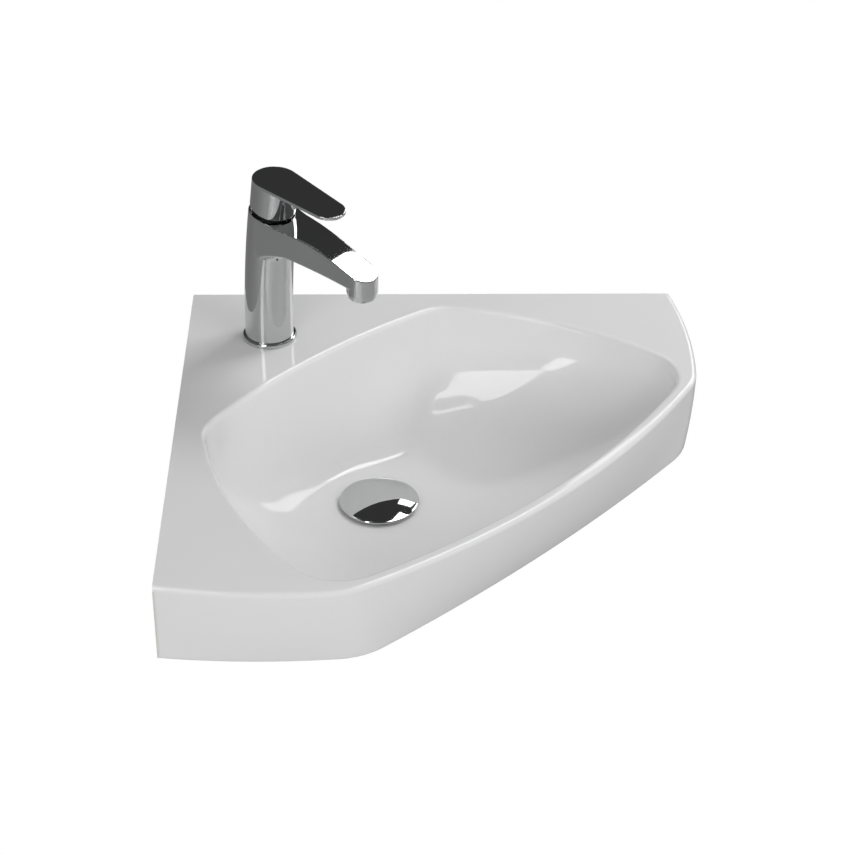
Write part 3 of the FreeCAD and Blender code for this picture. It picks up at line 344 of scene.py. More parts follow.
def make_basin():
    """The basin, with its holes cut and a mask of what the glaze leaves bare."""
    rings, glazed_rings = basin_rings()
    count = len(rings[0])
    points = to_row(np.concatenate(rings))
    bare = np.zeros((len(rings), count), np.float32)
    bare[glazed_rings:] = 1.0
    on_wall = np.minimum(np.arange(count), count - np.arange(count)) <= OUTLINE_COUNTS[0]
    low = np.array([[p[2] < -OUTER_EDGE_R - 1.0 for p in ring] for ring in rings])
    outer = np.arange(len(rings))[:, None] > glazed_rings - (APRON_RINGS + LOW_EDGE_RINGS + 2)
    bare[low & outer & on_wall] = 1.0
    faces = grid_faces(len(rings), count, wrap_rows=True)
    obj = make("basin_body", points, faces, "basin_part")
    obj.data.attributes.new("bare", "FLOAT", "POINT").data.foreach_set("value", bare.ravel())
    outwards(obj.data, weld=2e-6)
    along, drop, inside = BOLT_FROM_CORNER * MM, BOLT_DROP * MM, .008
    cut(obj, [(TAP_HOLE_R * MM, .024, (TAP_FROM_WALL * MM, -TAP_FROM_WALL * MM, -inside), (0, 0, 1)),
              (BOLT_HOLE_R * MM, .030, (along, -inside, -drop), (0, 1, 0)),
              (BOLT_HOLE_R * MM, .030, (inside, -along, -drop), (1, 0, 0))])
    obj.data.polygons.foreach_set("use_smooth", [True] * len(obj.data.polygons))
    obj.data.set_sharp_from_angle(angle=math.radians(38))
    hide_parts("basin")
    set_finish(obj, "glaze")


# ---------------- shapes as distance fields

DRAWN_TIMES = 4         # how often a mesh's points are drawn onto their surface


def net(field, low, high, step):
    """Closed mesh of field = 0 (negative inside), its points drawn onto the surface, with normals."""
    size = [int(math.ceil((b - a) / step)) + 1 for a, b in zip(low, high)]
    axes = [a + step * np.arange(n) for a, n in zip(low, size)]
    v = field(*np.meshgrid(*axes, indexing="ij"))
    total = np.zeros([n - 1 for n in size] + [3])
    count = np.zeros([n - 1 for n in size])
    near = []
    for axis in range(3):
        a = np.take(v, range(size[axis] - 1), axis)
        b = np.take(v, range(1, size[axis]), axis)
        cross = (a < 0) != (b < 0)
        share = np.where(cross, a / np.where(cross, a - b, 1), 0)
        others = [i for i in range(3) if i != axis]
        for p in (0, 1):
            for q in (0, 1):
                pick = [slice(None)] * 3
                pick[others[0]] = slice(p, size[others[0]] - 1 + p)
                pick[others[1]] = slice(q, size[others[1]] - 1 + q)
                c, k = cross[tuple(pick)], share[tuple(pick)]
                total[..., axis] += np.where(c, k, 0)
                total[..., others[0]] += c * p
                total[..., others[1]] += c * q
                count += c
        near.append((cross, a < 0, others))
    used = count > 0
    index = np.full(used.shape, -1, int)
    index[used] = np.arange(used.sum())
    cell = np.argwhere(used)
    points = np.array(low) + step * (cell + total[used] / count[used][:, None])
    faces = []
    for axis, (cross, inner, others) in enumerate(near):
        at = np.argwhere(cross)
        at = at[(at[:, others[0]] > 0) & (at[:, others[1]] > 0)]
        corner_cells = []
        for p, q in ((1, 1), (0, 1), (0, 0), (1, 0)):
            c = at.copy()
            c[:, others[0]] -= p
            c[:, others[1]] -= q
            corner_cells.append(index[tuple(c.T)])
        quad = np.stack(corner_cells, 1)
        flip = inner[tuple(at.T)] if axis != 1 else ~inner[tuple(at.T)]
        quad[~flip] = quad[~flip][:, ::-1]
        faces.append(quad)
    for _ in range(DRAWN_TIMES):
        g = slope(field, points, step * .02)
        value = field(*points.T)
        points -= g * (np.clip(value, -step, step) / np.maximum((g * g).sum(1), .2))[:, None]
    g = slope(field, points, step * .05)
    return points, np.concatenate(faces), g / np.linalg.norm(g, axis=1)[:, None]


def slope(field, points, eps):
    """The field's gradient at points."""
    out = np.empty_like(points)
    for i in range(3):
        up, down = points.copy(), points.copy()
        up[:, i] += eps
        down[:, i] -= eps
        out[:, i] = (field(*up.T) - field(*down.T)) / (2 * eps)
    return out


def meet(a, b, r=0.0):
    """Where both are inside, its edge rounded by r."""
    r = np.asarray(r, float)
    return np.minimum(-r, np.maximum(a, b)) + np.hypot(np.maximum(a + r, 0), np.maximum(b + r, 0))


def join(a, b, r=0.0):
    """Where either is inside, its inner corner filled to r."""
    return -meet(-a, -b, r)


def ramp(x, low, high):
    """From 0 at low to 1 at high, level at both."""
    k = np.clip((x - low) / (high - low), 0, 1)
    return k * k * (3 - 2 * k)


def curve_through(knots):
    """A natural cubic through (x, y) knots, as a function of x."""
    x, y = np.array(knots, float).T
    n = len(x)
    h = np.diff(x)
    m = np.eye(n)
    rhs = np.zeros(n)
    for i in range(1, n - 1):
        m[i, i - 1:i + 2] = h[i - 1], 2 * (h[i - 1] + h[i]), h[i]
        rhs[i] = 6 * ((y[i + 1] - y[i]) / h[i] - (y[i] - y[i - 1]) / h[i - 1])
    c = np.linalg.solve(m, rhs)

    def at(v):
        i = np.clip(np.searchsorted(x, v) - 1, 0, n - 2)
        a, b = (x[i + 1] - v) / h[i], (v - x[i]) / h[i]
        return a * y[i] + b * y[i + 1] + ((a ** 3 - a) * c[i] + (b ** 3 - b) * c[i + 1]) * h[i] ** 2 / 6
    return at


# ---------------- tap

# u runs from the tap hole's centre to the front, a along the leaning axis from the body's top face.
TAP_S, LEAN, TOP_Z, FOOT_Z = TAP_FROM_WALL * R2, math.radians(8.8), 132.7, 4.0
BEND_R = (TOP_Z - FOOT_Z) / math.sin(LEAN)
TOP_U = BEND_R * (1 - math.cos(LEAN))
BODY_R, BODY_TAPER = 22.1, .8           # the column at its foot, and what it loses to its top
FLAT_END_U, SPOUT_END_U, SPOUT_TOP_TILT = 31.2, 139.0, .975
NOSE_U, NOSE_R, BOSS_Z, BOSS_TOP_Z = 121.6, 13.7, 95.5, 108.0
ARCH_U, ARCH_R, SPOUT_UNDER_Z, UNDER_FALL = 48.0, 38.0, 104.6, 4.2 / 91
ARCH_SIDE = 150                         # degrees round the arch's centre to where its round ends
SEAT_R, SEAT_DEPTH, MOUTH_R, MOUTH_DEPTH = 18.2, 34.0, 11.05, 9.0

# Lever: paddle, skirt, core with a square socket, and the screw's hole
PADDLE_TOP_A, PADDLE_RISE, PADDLE_THICK = 33.5, math.radians(4.05), 3.0
PADDLE_BIG_R, PADDLE_SMALL_R, PADDLE_REACH = 20.5, 14.9, 66.5
SKIRT_R, SKIRT_BORE_R, SKIRT_BORE_TOP_A = 20.4, 18.3, 28.5
SKIRT_LOW_A, SKIRT_TILT, RELIEF_R, RELIEF_A = 4.3, math.radians(7.5), 40.0, 9.3
CORE_R, CORE_LOW_A, SOCKET_HALF_W, SOCKET_TOP_A = 7.5, 11.0, 4.05, 23.8
SCREW_A, SCREW_R, SCREW_END_U, PLUG_R, PLUG_END_U = 17.0, 2.55, 3.0, 3.05, 16.4


def from_tap(points):
    """(u, t, z) round the tap hole to the row frame."""
    return to_row(np.asarray(points) + [TAP_S, 0, 0])


def from_lean(points):
    """(u, t, a) in the leaning frame, zero at the body's top face, to the row frame."""
    p = np.asarray(points, float)
    c, s = math.cos(LEAN), math.sin(LEAN)
    return from_tap(np.stack([TOP_U + p[..., 0] * c + p[..., 2] * s, p[..., 1],
                              TOP_Z + p[..., 2] * c - p[..., 0] * s], -1))


# The spout's height and its half width along u
SPOUT_TOP = curve_through([(FLAT_END_U, 129.4), (50.0, 129.0), (79.0, 125.9), (105.0, 119.9),
                           (SPOUT_END_U, 110.6)])
SPOUT_SIDE = curve_through([(-20.0, 21.4), (2.0, 21.4), (10.0, 21.2), (46.0, 18.3), (80.0, 15.0),
                            (NOSE_U, NOSE_R), (150.0, NOSE_R)])


def tap_field(u, t, z):
    """The tap's casting: column, spout and boss, less the cartridge's seat and the mouth."""
    dx, dz = BEND_R - u, z - FOOT_Z
    theta = np.arctan2(dz, dx)
    d = BEND_R - np.hypot(dx, dz)
    top = (z - TOP_Z) * math.cos(LEAN) + (u - TOP_U) * math.sin(LEAN)
    radius = BODY_R - BODY_TAPER * np.clip(theta / LEAN, 0, 1)
    column = meet(np.hypot(d, t) - radius, np.maximum(top, FOOT_Z - z), .5)
    side = np.abs(t) - SPOUT_SIDE(np.clip(u, -20, NOSE_U))
    plan = np.where(u > NOSE_U, np.hypot(u - NOSE_U, t) - NOSE_R, side)
    crown = np.where(u < FLAT_END_U, top,
                     (z - SPOUT_TOP(np.clip(u, FLAT_END_U, SPOUT_END_U))) * SPOUT_TOP_TILT)
    # the space under the spout: a wedge with a round corner
    qu, qz = u - ARCH_U, z - (SPOUT_UNDER_Z - ARCH_R)
    n1, n2 = (UNDER_FALL, 1.0), (math.cos(math.radians(ARCH_SIDE)), math.sin(math.radians(ARCH_SIDE)))
    a, b = n1[0] * qu + n1[1] * qz, n2[0] * qu + n2[1] * qz
    angle = np.degrees(np.arctan2(qz, qu))
    low = ARCH_R - np.where((angle > 90) & (angle < ARCH_SIDE), np.hypot(qu, qz), np.maximum(a, b))
    # its edge is small at the nose and grows towards the column, where a fillet fills the corner
    soft = 1.6 + 9.0 * ramp(-(z + .35 * u), -119, -92)
    spout = meet(meet(plan, crown, .7), np.maximum(low, -d), soft)
    inner = 5.0 * ramp(-z, -108, -96) * (1 - ramp(np.abs(t), 9, 16))
    boss = meet(np.hypot(u - NOSE_U, t) - NOSE_R, np.maximum(BOSS_Z - z, z - BOSS_TOP_Z), .35)
    body = np.minimum(join(column, spout, inner), boss)
    across = (u - TOP_U) * math.cos(LEAN) - (z - TOP_Z) * math.sin(LEAN)
    seat = np.maximum(np.hypot(across, t) - SEAT_R, -SEAT_DEPTH - top)
    mouth = np.maximum(np.hypot(u - NOSE_U, t) - MOUTH_R, z - (BOSS_Z + MOUTH_DEPTH))
    return meet(np.maximum(body, -mouth), -seat, .3)


def lever_field(u, t, a):
    """The lever's casting: an egg-shaped paddle that rises to its tip, a skirt cut off aslant, and a core."""
    c, s = math.cos(PADDLE_RISE), math.sin(PADDLE_RISE)
    along, high = u * c + (a - PADDLE_TOP_A) * s, (a - PADDLE_TOP_A) * c - u * s
    b = (PADDLE_BIG_R - PADDLE_SMALL_R) / PADDLE_REACH
    side = math.sqrt(1 - b * b)
    k = along * side - np.abs(t) * b
    egg = np.where(k < 0, np.hypot(along, t) - PADDLE_BIG_R,
                   np.where(k > PADDLE_REACH * side, np.hypot(along - PADDLE_REACH, t) - PADDLE_SMALL_R,
                            along * b + np.abs(t) * side - PADDLE_BIG_R))
    paddle = meet(egg, np.maximum(high, -PADDLE_THICK - high), .45)
    r = np.hypot(u, t)
    lower = ((SKIRT_LOW_A - a) - u * math.tan(SKIRT_TILT)) * math.cos(SKIRT_TILT)
    relief = np.where(u < 0, RELIEF_R - np.hypot(t, a - (RELIEF_A - RELIEF_R)), -50.0)
    shell = np.maximum(r - SKIRT_R, high + 1.0)
    hollow = np.maximum(r - SKIRT_BORE_R, a - SKIRT_BORE_TOP_A)
    skirt = meet(np.maximum(shell, -hollow), np.maximum(lower, relief), .35)
    core = np.maximum(r - CORE_R, np.maximum(CORE_LOW_A - a, high + 1.0))
    socket = np.maximum(np.maximum(np.abs(u), np.abs(t)) - SOCKET_HALF_W, a - SOCKET_TOP_A)
    body = np.minimum(np.minimum(paddle, skirt), np.maximum(core, -socket))
    plug_hole = np.maximum(np.hypot(t, a - SCREW_A) - PLUG_R, u + PLUG_END_U)
    screw_hole = np.maximum(np.hypot(t, a - SCREW_A) - SCREW_R, u + SCREW_END_U)
    return np.maximum(np.maximum(body, -plug_hole), -screw_hole)


def netted(name, field, low, high, step, place, body, replaces, slot):
    """A piece meshed from its distance field, shaded by the field's own normals."""
    points, faces, normals = net(field, low, high, step)
    obj = make(name, place(points), faces, body, (replaces,), slot)
    tip = place(points + normals) - place(points)
    obj.data.normals_split_custom_set_from_vertices(tip / np.linalg.norm(tip, axis=1)[:, None])


def make_tap():
    """The two castings."""
    netted("tap_casting", tap_field, (-24, -24, 2.5), (138, 24, 137.5), .75, from_tap,
           "basin_part", "tap_body", "chrome_body")
    netted("lever_casting", lever_field, (-24, -24, -1), (86, 24, 44), .6, from_lean,
           "lever_part", "lever", "chrome_lever")


# ---------------- turned pieces, threads and nuts

def from_drain(points):
    """(x, y, z) round the drain to the row frame."""
    return to_row(np.asarray(points) + [DRAIN_S, 0, 0])


ROUND_STEPS = 4         # edges in a rounded corner of a turned piece's outline
ON_AXIS = 1e-6
STRAIGHT = math.radians(84)     # half of an angle above which a corner is too flat to round


def softened(loop, radius):
    """The corners of a closed outline of (r, z) points rounded, but not those on the axis."""
    loop = [np.array(p, float) for p in loop]
    out = []
    for i, p in enumerate(loop):
        before, after = loop[i - 1] - p, loop[(i + 1) % len(loop)] - p
        la, lb = np.linalg.norm(before), np.linalg.norm(after)
        cosine = np.clip(before @ after / (la * lb), -1, 1)
        half = math.acos(cosine) / 2
        reach = min(radius / math.tan(half), la * .45, lb * .45)
        if p[0] < ON_AXIS or half > STRAIGHT:
            out.append(p)
            continue
        a, b = p + before / la * reach, p + after / lb * reach
        for k in np.linspace(0, 1, ROUND_STEPS + 1):
            out.append(a * (1 - k) ** 2 + 2 * p * k * (1 - k) + b * k * k)
    return np.array(out)


def lathe(name, loop, place, body, replaces, slot, radius=.25, count=128):
    """A turned piece from a closed outline of (r, z) points; its ends on the axis become poles."""
    loop = softened(loop, radius)
    turn = np.arange(count) * 2 * math.pi / count
    points, rows = [], []
    for r, z in loop:
        rows.append(len(points))
        if r < ON_AXIS:
            points.append((0.0, 0.0, z))
        else:
            points += [(r * math.cos(a), r * math.sin(a), z) for a in turn]
    faces = []
    for i in range(len(loop)):
        j = (i + 1) % len(loop)
        a, b = rows[i], rows[j]
        pole_a, pole_b = loop[i][0] < ON_AXIS, loop[j][0] < ON_AXIS
        if pole_a and pole_b:
            continue
        for k in range(count):
            m = (k + 1) % count
            if pole_a:
                faces.append((a, b + m, b + k))
            elif pole_b:
                faces.append((a + k, a + m, b))
            else:
                faces.append((a + k, a + m, b + m, b + k))
    obj = make(name, place(points), faces, body, replaces, slot)
    outwards(obj.data)
    obj.data.set_sharp_from_angle(angle=math.radians(50))


def put(tree, kind, feeds, **settings):
    """A node with its settings, and with each named input linked or set."""
    n = tree.nodes.new(kind)
    for key, value in settings.items():
        setattr(n, key, value)
    for key, value in feeds.items():
        if isinstance(value, bpy.types.NodeSocket):
            tree.links.new(value, n.inputs[key])
        else:
            n.inputs[key].default_value = value
    return n


def thread_tree():
    """Geometry nodes for a screw's ridge: a diamond bar wound round Z, half sunk in its core."""
    tree = bpy.data.node_groups.new("screw_thread", "GeometryNodeTree")
    for name in ("Radius", "Pitch", "Turns", "Depth"):
        tree.interface.new_socket(name=name, in_out="INPUT", socket_type="NodeSocketFloat")
    tree.interface.new_socket(name="Finish", in_out="INPUT", socket_type="NodeSocketMaterial")
    tree.interface.new_socket(name="Geometry", in_out="OUTPUT", socket_type="NodeSocketGeometry")
    given, out = tree.nodes.new("NodeGroupInput").outputs, tree.nodes.new("NodeGroupOutput")
    height = put(tree, "ShaderNodeMath", {0: given["Pitch"], 1: given["Turns"]}, operation="MULTIPLY")
    winding = put(tree, "GeometryNodeCurveSpiral", {
        "Resolution": 48, "Rotations": given["Turns"], "Start Radius": given["Radius"],
        "End Radius": given["Radius"], "Height": height.outputs[0]})
    upright = put(tree, "GeometryNodeSetCurveNormal", {"Curve": winding.outputs[0]}, mode="Z_UP")
    profile = put(tree, "GeometryNodeCurvePrimitiveCircle", {"Resolution": 4, "Radius": given["Depth"]})
    sweep = put(tree, "GeometryNodeCurveToMesh", {
        "Curve": upright.outputs[0], "Profile Curve": profile.outputs[0], "Fill Caps": True})
    real = put(tree, "GeometryNodeRealizeInstances", {0: sweep.outputs[0]})
    paint = put(tree, "GeometryNodeSetMaterial", {"Geometry": real.outputs[0], "Material": given["Finish"]})
    tree.links.new(paint.outputs[0], out.inputs[0])
    return tree


def threaded(name, crest, pitch, depth, low, high, place, body, slot, metal):
    """The ridge of a screw thread between two heights; the core below it is depth smaller."""
    obj = new_object(name, bpy.data.meshes.new(name))
    tree = bpy.data.node_groups.get("screw_thread") or thread_tree()
    given = {"Radius": crest - depth, "Pitch": pitch, "Turns": (high - low) / pitch, "Depth": depth,
             "Finish": metal}
    mod = obj.modifiers.new("thread", "NODES")
    mod.node_group = tree
    for item in tree.interface.items_tree:
        if item.in_out == "INPUT":
            mod[item.identifier] = given[item.name]
    mesh = bpy.data.meshes.new_from_object(obj.evaluated_get(bpy.context.evaluated_depsgraph_get()))
    obj.modifiers.clear()
    points = np.array([v.co for v in mesh.vertices]) + [0, 0, low]
    mesh.vertices.foreach_set("co", place(points).astype(np.float32).ravel())
    mesh.update()
    obj.data = mesh
    outwards(mesh)
    mesh.set_sharp_from_angle(angle=math.radians(30))
    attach(obj, body)
    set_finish(obj, slot)


def hex_field(flats, low, high, bore, flange_r, flange_low, flange_high):
    """A chamfered hexagon nut with a round flange, bored through."""
    def field(x, y, z):
        sides = np.maximum(np.abs(y), np.abs(x) * math.cos(math.radians(30)) + np.abs(y) * .5) - flats / 2
        across = np.hypot(x, y)
        chamfer = (across - flats * .545 + np.maximum(low + 1.0 - z, 0) * 1.7) * .5
        nut = meet(meet(sides, np.maximum(low - z, z - high), .3), chamfer, .2)
        flange = meet(across - flange_r, np.maximum(flange_low - z, z - flange_high), .35)
        return meet(np.minimum(nut, flange), bore - across, .3)
    return field


# Outlines below are (r, z) pairs of the CAD's radii and heights.
STUD_U, STUD_CREST_R, STUD_PITCH, STUD_THREAD_DEPTH = -9.5, 3.95, 1.25, .55


def make_fixing():
    """Foot ring, and what clamps the tap to the deck from below."""
    lathe("foot_ring", [(16.8, 0), (18.55, 0), (18.55, 1.6), (22.45, 1.6), (22.45, 0), (24.6, 0), (24.6, 3.1),
                        (23.8, 4.0), (16.8, 4.0)], from_tap, "basin_part", ("base_ring",), "chrome_body", .35)

    def from_stud(points):
        return from_tap(np.asarray(points) + [STUD_U, 0, 0])
    lathe("stud_core", [(0, -42), (2.6, -42), (3.4, -41), (3.4, 14), (0, 14)], from_stud, "basin_part",
          ("fixing_stud",), "steel", .1, 48)
    threaded("stud_thread", STUD_CREST_R, STUD_PITCH, STUD_THREAD_DEPTH, -40.6, 13.0, from_stud,
             "basin_part", "steel", finish["steel"])
    netted("stud_nut", hex_field(13.0, -24.5, -17.4, 4.0, 8.0, -17.7, -16.5), (-8.6, -8.6, -25),
           (8.6, 8.6, -16), .3, from_stud, "basin_part", "fixing_nut", "brass")


def make_head():
    """What shows between the tap's body and its lever, and the spout's mouth."""
    lathe("cover_band", [(12.2, -1.5), (17.2, -1.5), (17.2, 1.9), (16.6, 2.7), (15.4, 3.0), (12.2, 3.0)],
          from_lean, "basin_part", ("cover_ring",), "dark_plastic", .3)

    def from_nose(points):
        return from_tap(np.asarray(points) + [NOSE_U, 0, 0])
    lathe("mouth_ring", [(9.6, 90.4), (11.6, 90.4), (12.2, 91.6), (12.6, 95.5), (11, 95.5), (11, 103),
                         (9.6, 103)], from_nose, "basin_part", ("aerator_housing",), "chrome_body", .25, 96)


CAP_R, CAP_RISE, CAP_TOP_Z, DOME_SHARE = 36.0, 4.0, -110.0, .985
CAP_DOME_R = (CAP_R ** 2 + CAP_RISE ** 2) / (2 * CAP_RISE)
TAIL_CREST_R, TAIL_PITCH, TAIL_THREAD_DEPTH = 20.95, 2.309, .9
TAIL_THREADS = (("trap_thread", -186.6, -149.6), ("nut_thread", -146.4, -129.0))
ARM_COUNT, ARM_FROM_R, ARM_TO_R = 3, 8.5, 18.6


def make_waste():
    """Cover, tail with its two threads, washers and nut."""
    dome = [(CAP_R * k, CAP_TOP_Z - CAP_DOME_R + math.sqrt(CAP_DOME_R ** 2 - (CAP_R * k) ** 2))
            for k in np.linspace(0, DOME_SHARE, 26)]
    lathe("cover_dome", dome + [(CAP_R, -114.5), (CAP_R, -115.8), (32.0, -115.8), (32.0, -115.0),
                                (5.0, -115.0), (5.0, -119.8), (0, -119.8)], from_drain, "cap_part",
          ("waste_cap",), "chrome_cap", .22, 192)
    lathe("tail_pipe", [(18.0, -188.0), (19.6, -188.0), (20.05, -187.0), (20.05, -119.2), (32.0, -119.2),
                        (32.0, -118.0), (31.2, -117.2), (21.0, -117.2), (18.0, -119.2)], from_drain,
          "basin_part", ("waste_body",), "chrome_waste", .3, 160)
    for name, low, high in TAIL_THREADS:
        threaded(name, TAIL_CREST_R, TAIL_PITCH, TAIL_THREAD_DEPTH, low, high, from_drain, "basin_part",
                 "chrome_waste", finish["chrome"])
    lathe("hub_ring", [(7.55, -158), (10, -158), (10, -150), (7.55, -150)], from_drain, "basin_part",
          ("waste_body",), "chrome_waste", .3, 96)
    arms = []
    for i in range(ARM_COUNT):
        a = math.radians(360 / ARM_COUNT * i)
        turn = np.array([[math.cos(a), -math.sin(a)], [math.sin(a), math.cos(a)]])
        section = softened([(-1.5, -158), (1.5, -158), (1.5, -152), (-1.5, -152)], .5)
        ends = [[(*(turn @ [x, w]), z) for w, z in section] for x in (ARM_FROM_R, ARM_TO_R)]
        arms.append(np.array(ends).reshape(-1, 3))
    side = len(arms[0]) // 2
    faces = []
    for i in range(ARM_COUNT):
        start = i * side * 2
        faces += grid_faces(2, side, start=start)
        faces += [tuple(range(start, start + side)), tuple(range(start + side, start + 2 * side))]
    spider = make("hub_arms", from_drain(np.concatenate(arms)), faces, "basin_part", ("waste_body",),
                  "chrome_waste", smooth=35.0)
    outwards(spider.data)
    lathe("cone_rubber", [(21.05, -136), (30, -136), (31, -132), (31, -128), (21.05, -128)], from_drain,
          "basin_part", ("cone_washer",), "rubber", .5)
    lathe("slip_ring", [(21.25, -137.5), (29.5, -137.5), (29.5, -136), (21.25, -136)], from_drain,
          "basin_part", ("slip_washer",), "inner_plastic", .3)
    netted("tail_nut", hex_field(51.0, -146.5, -139.5, 21.0, 30.0, -140.0, -137.5), (-31, -31, -148),
           (31, 31, -136), .6, from_drain, "basin_part", "back_nut", "brass")


# ---------------- materials

def shader_group(name, inputs, outputs):
    """A new node group with float sockets, its input node and its output node."""
    tree = bpy.data.node_groups.new(name, "ShaderNodeTree")
    for socket, value in inputs.items():
        made = tree.interface.new_socket(name=socket, in_out="INPUT", socket_type="NodeSocketFloat")
        made.default_value = value
    for socket in outputs:
        tree.interface.new_socket(name=socket, in_out="OUTPUT", socket_type="NodeSocketFloat")
    return tree, tree.nodes.new("NodeGroupInput"), tree.nodes.new("NodeGroupOutput")


def noise(tree, vector, scale, detail):
    """A noise's value."""
    return put(tree, "ShaderNodeTexNoise", {"Vector": vector, "Scale": scale, "Detail": detail}).outputs[0]


def spread(tree, value, low, high, to_low, to_high):
    """The value's range from low to high drawn out to another range."""
    return put(tree, "ShaderNodeMapRange", {"Value": value, "From Min": low, "From Max": high,
                                            "To Min": to_low, "To Max": to_high}).outputs[0]


def polish_marks():
    """Bright metal: faint smears in its gloss, and hairlines left by the wheel."""
    tree, given, out = shader_group("polish_marks", {"Low": .03, "High": .07, "Hairlines": .3},
                                    ("Roughness", "Height"))
    place = put(tree, "ShaderNodeTexCoord", {}).outputs["Object"]
    smear = noise(tree, place, 38.0, 3.0)
    fine = noise(tree, place, 900.0, 2.0)
    both = put(tree, "ShaderNodeMath", {0: smear, 1: spread(tree, fine, .3, .7, -.12, .12)}, operation="ADD")
    stretched = put(tree, "ShaderNodeMapping", {"Vector": place, "Scale": (60.0, 60.0, 2400.0)})
    lines = noise(tree, stretched.outputs[0], 1.0, 2.0)
    rough = spread(tree, both.outputs[0], .3, .75, given.outputs["Low"], given.outputs["High"])
    tree.links.new(rough, out.inputs["Roughness"])
    high = put(tree, "ShaderNodeMath", {0: lines, 1: given.outputs["Hairlines"]}, operation="MULTIPLY")
    tree.links.new(high.outputs[0], out.inputs["Height"])
    return tree


def moulded_grain():
    """Rubber, plastic and bare ceramic: an even grain, with some patches smoother than others."""
    tree, given, out = shader_group("moulded_grain", {"Scale": 900.0, "Low": .4, "High": .7},
                                    ("Roughness", "Height", "Mottle"))
    place = put(tree, "ShaderNodeTexCoord", {}).outputs["Object"]
    grain = noise(tree, place, given.outputs["Scale"], 4.0)
    patch = noise(tree, place, 24.0, 4.0)
    rough = spread(tree, patch, .3, .7, given.outputs["Low"], given.outputs["High"])
    tree.links.new(rough, out.inputs["Roughness"])
    tree.links.new(grain, out.inputs["Height"])
    tree.links.new(patch, out.inputs["Mottle"])
    return tree


def glaze_flow():
    """Glaze: a very slow swell from firing, fine specks and an even gloss that dulls in places."""
    tree, given, out = shader_group("glaze_flow", {"Low": .04, "High": .08}, ("Roughness", "Height", "Tone"))
    place = put(tree, "ShaderNodeTexCoord", {}).outputs["Object"]
    swell = noise(tree, place, 14.0, 2.0)
    ripple = noise(tree, place, 120.0, 2.0)
    both = put(tree, "ShaderNodeMath", {0: swell, 1: 1.0, 2: spread(tree, ripple, 0, 1, 0, .06)},
               operation="MULTIPLY_ADD")
    tree.links.new(both.outputs[0], out.inputs["Height"])
    rough = spread(tree, noise(tree, place, 30.0, 4.0), .35, .7, given.outputs["Low"], given.outputs["High"])
    tree.links.new(rough, out.inputs["Roughness"])
    tree.links.new(noise(tree, place, 9.0, 3.0), out.inputs["Tone"])
    return tree


MARK_HEIGHT, GRAIN_HEIGHT, SWELL_HEIGHT = .00002, .00006, .00005      # metres


def new_material(name):
    """A new material, its tree and its main shader."""
    m = bpy.data.materials.new(name)
    m.use_nodes = True
    return m, m.node_tree, m.node_tree.nodes["Principled BSDF"]


def use(tree, group, feeds):
    """A pattern with its values set."""
    n = put(tree, "ShaderNodeGroup", {}, node_tree=group)
    for key, value in feeds.items():
        n.inputs[key].default_value = value
    return n


def two_tone(tree, share, low, high):
    """A colour between two, by a value from the pattern."""
    return put(tree, "ShaderNodeMix", {0: share, 6: (*low, 1), 7: (*high, 1)}, data_type="RGBA").outputs[2]


def bump(tree, shader, height, strength, distance):
    """Relief from a height, distance in metres."""
    n = put(tree, "ShaderNodeBump", {"Height": height, "Strength": strength, "Distance": distance})
    tree.links.new(n.outputs[0], shader.inputs["Normal"])


def bright_metal(name, dark, light, low, high, hairlines, strength):
    """Polished or brushed metal; low and high are its roughness."""
    m, tree, shader = new_material(name)
    marks = use(tree, marks_group, {"Low": low, "High": high, "Hairlines": hairlines})
    place = put(tree, "ShaderNodeTexCoord", {}).outputs["Object"]
    tone = two_tone(tree, spread(tree, noise(tree, place, 20.0, 3.0), .3, .7, 0, 1), dark, light)
    tree.links.new(tone, shader.inputs["Base Color"])
    tree.links.new(marks.outputs["Roughness"], shader.inputs["Roughness"])
    shader.inputs["Metallic"].default_value = 1.0
    bump(tree, shader, marks.outputs["Height"], strength, MARK_HEIGHT)
    return m


def moulded(name, dark, light, scale, low, high, strength):
    """Rubber, plastic or plain ceramic; low and high are its roughness."""
    m, tree, shader = new_material(name)
    grain = use(tree, grain_group, {"Scale": scale, "Low": low, "High": high})
    tone = two_tone(tree, spread(tree, grain.outputs["Mottle"], .3, .7, 0, 1), dark, light)
    tree.links.new(tone, shader.inputs["Base Color"])
    tree.links.new(grain.outputs["Roughness"], shader.inputs["Roughness"])
    bump(tree, shader, grain.outputs["Height"], strength, GRAIN_HEIGHT)
    return m


GLAZE_TONES = ((.83, .83, .83), (.845, .845, .845))
BARE_TONES = ((.60, .585, .555), (.66, .645, .61))


def glazed():
    """White glaze, left bare and matt on the wall faces and underneath by the piece's own mask."""
    m, tree, shader = new_material("glaze")
    flow = use(tree, flow_group, {"Low": .035, "High": .07})
    grain = use(tree, grain_group, {"Scale": 700.0, "Low": .7, "High": .9})
    bare = put(tree, "ShaderNodeAttribute", {}, attribute_name="bare").outputs["Fac"]
    tones = [two_tone(tree, spread(tree, source, .3, .7, 0, 1), *pair)
             for source, pair in ((flow.outputs["Tone"], GLAZE_TONES), (grain.outputs["Mottle"], BARE_TONES))]
    color = put(tree, "ShaderNodeMix", {0: bare, 6: tones[0], 7: tones[1]}, data_type="RGBA").outputs[2]
    rough = put(tree, "ShaderNodeMix", {0: bare, 2: flow.outputs["Roughness"], 3: grain.outputs["Roughness"]})
    height = put(tree, "ShaderNodeMix", {0: bare, 2: flow.outputs["Height"], 3: grain.outputs["Height"]})
    tree.links.new(color, shader.inputs["Base Color"])
    tree.links.new(rough.outputs[0], shader.inputs["Roughness"])
    shader.inputs["IOR"].default_value = 1.5
    bump(tree, shader, height.outputs[0], .35, SWELL_HEIGHT)
    return m


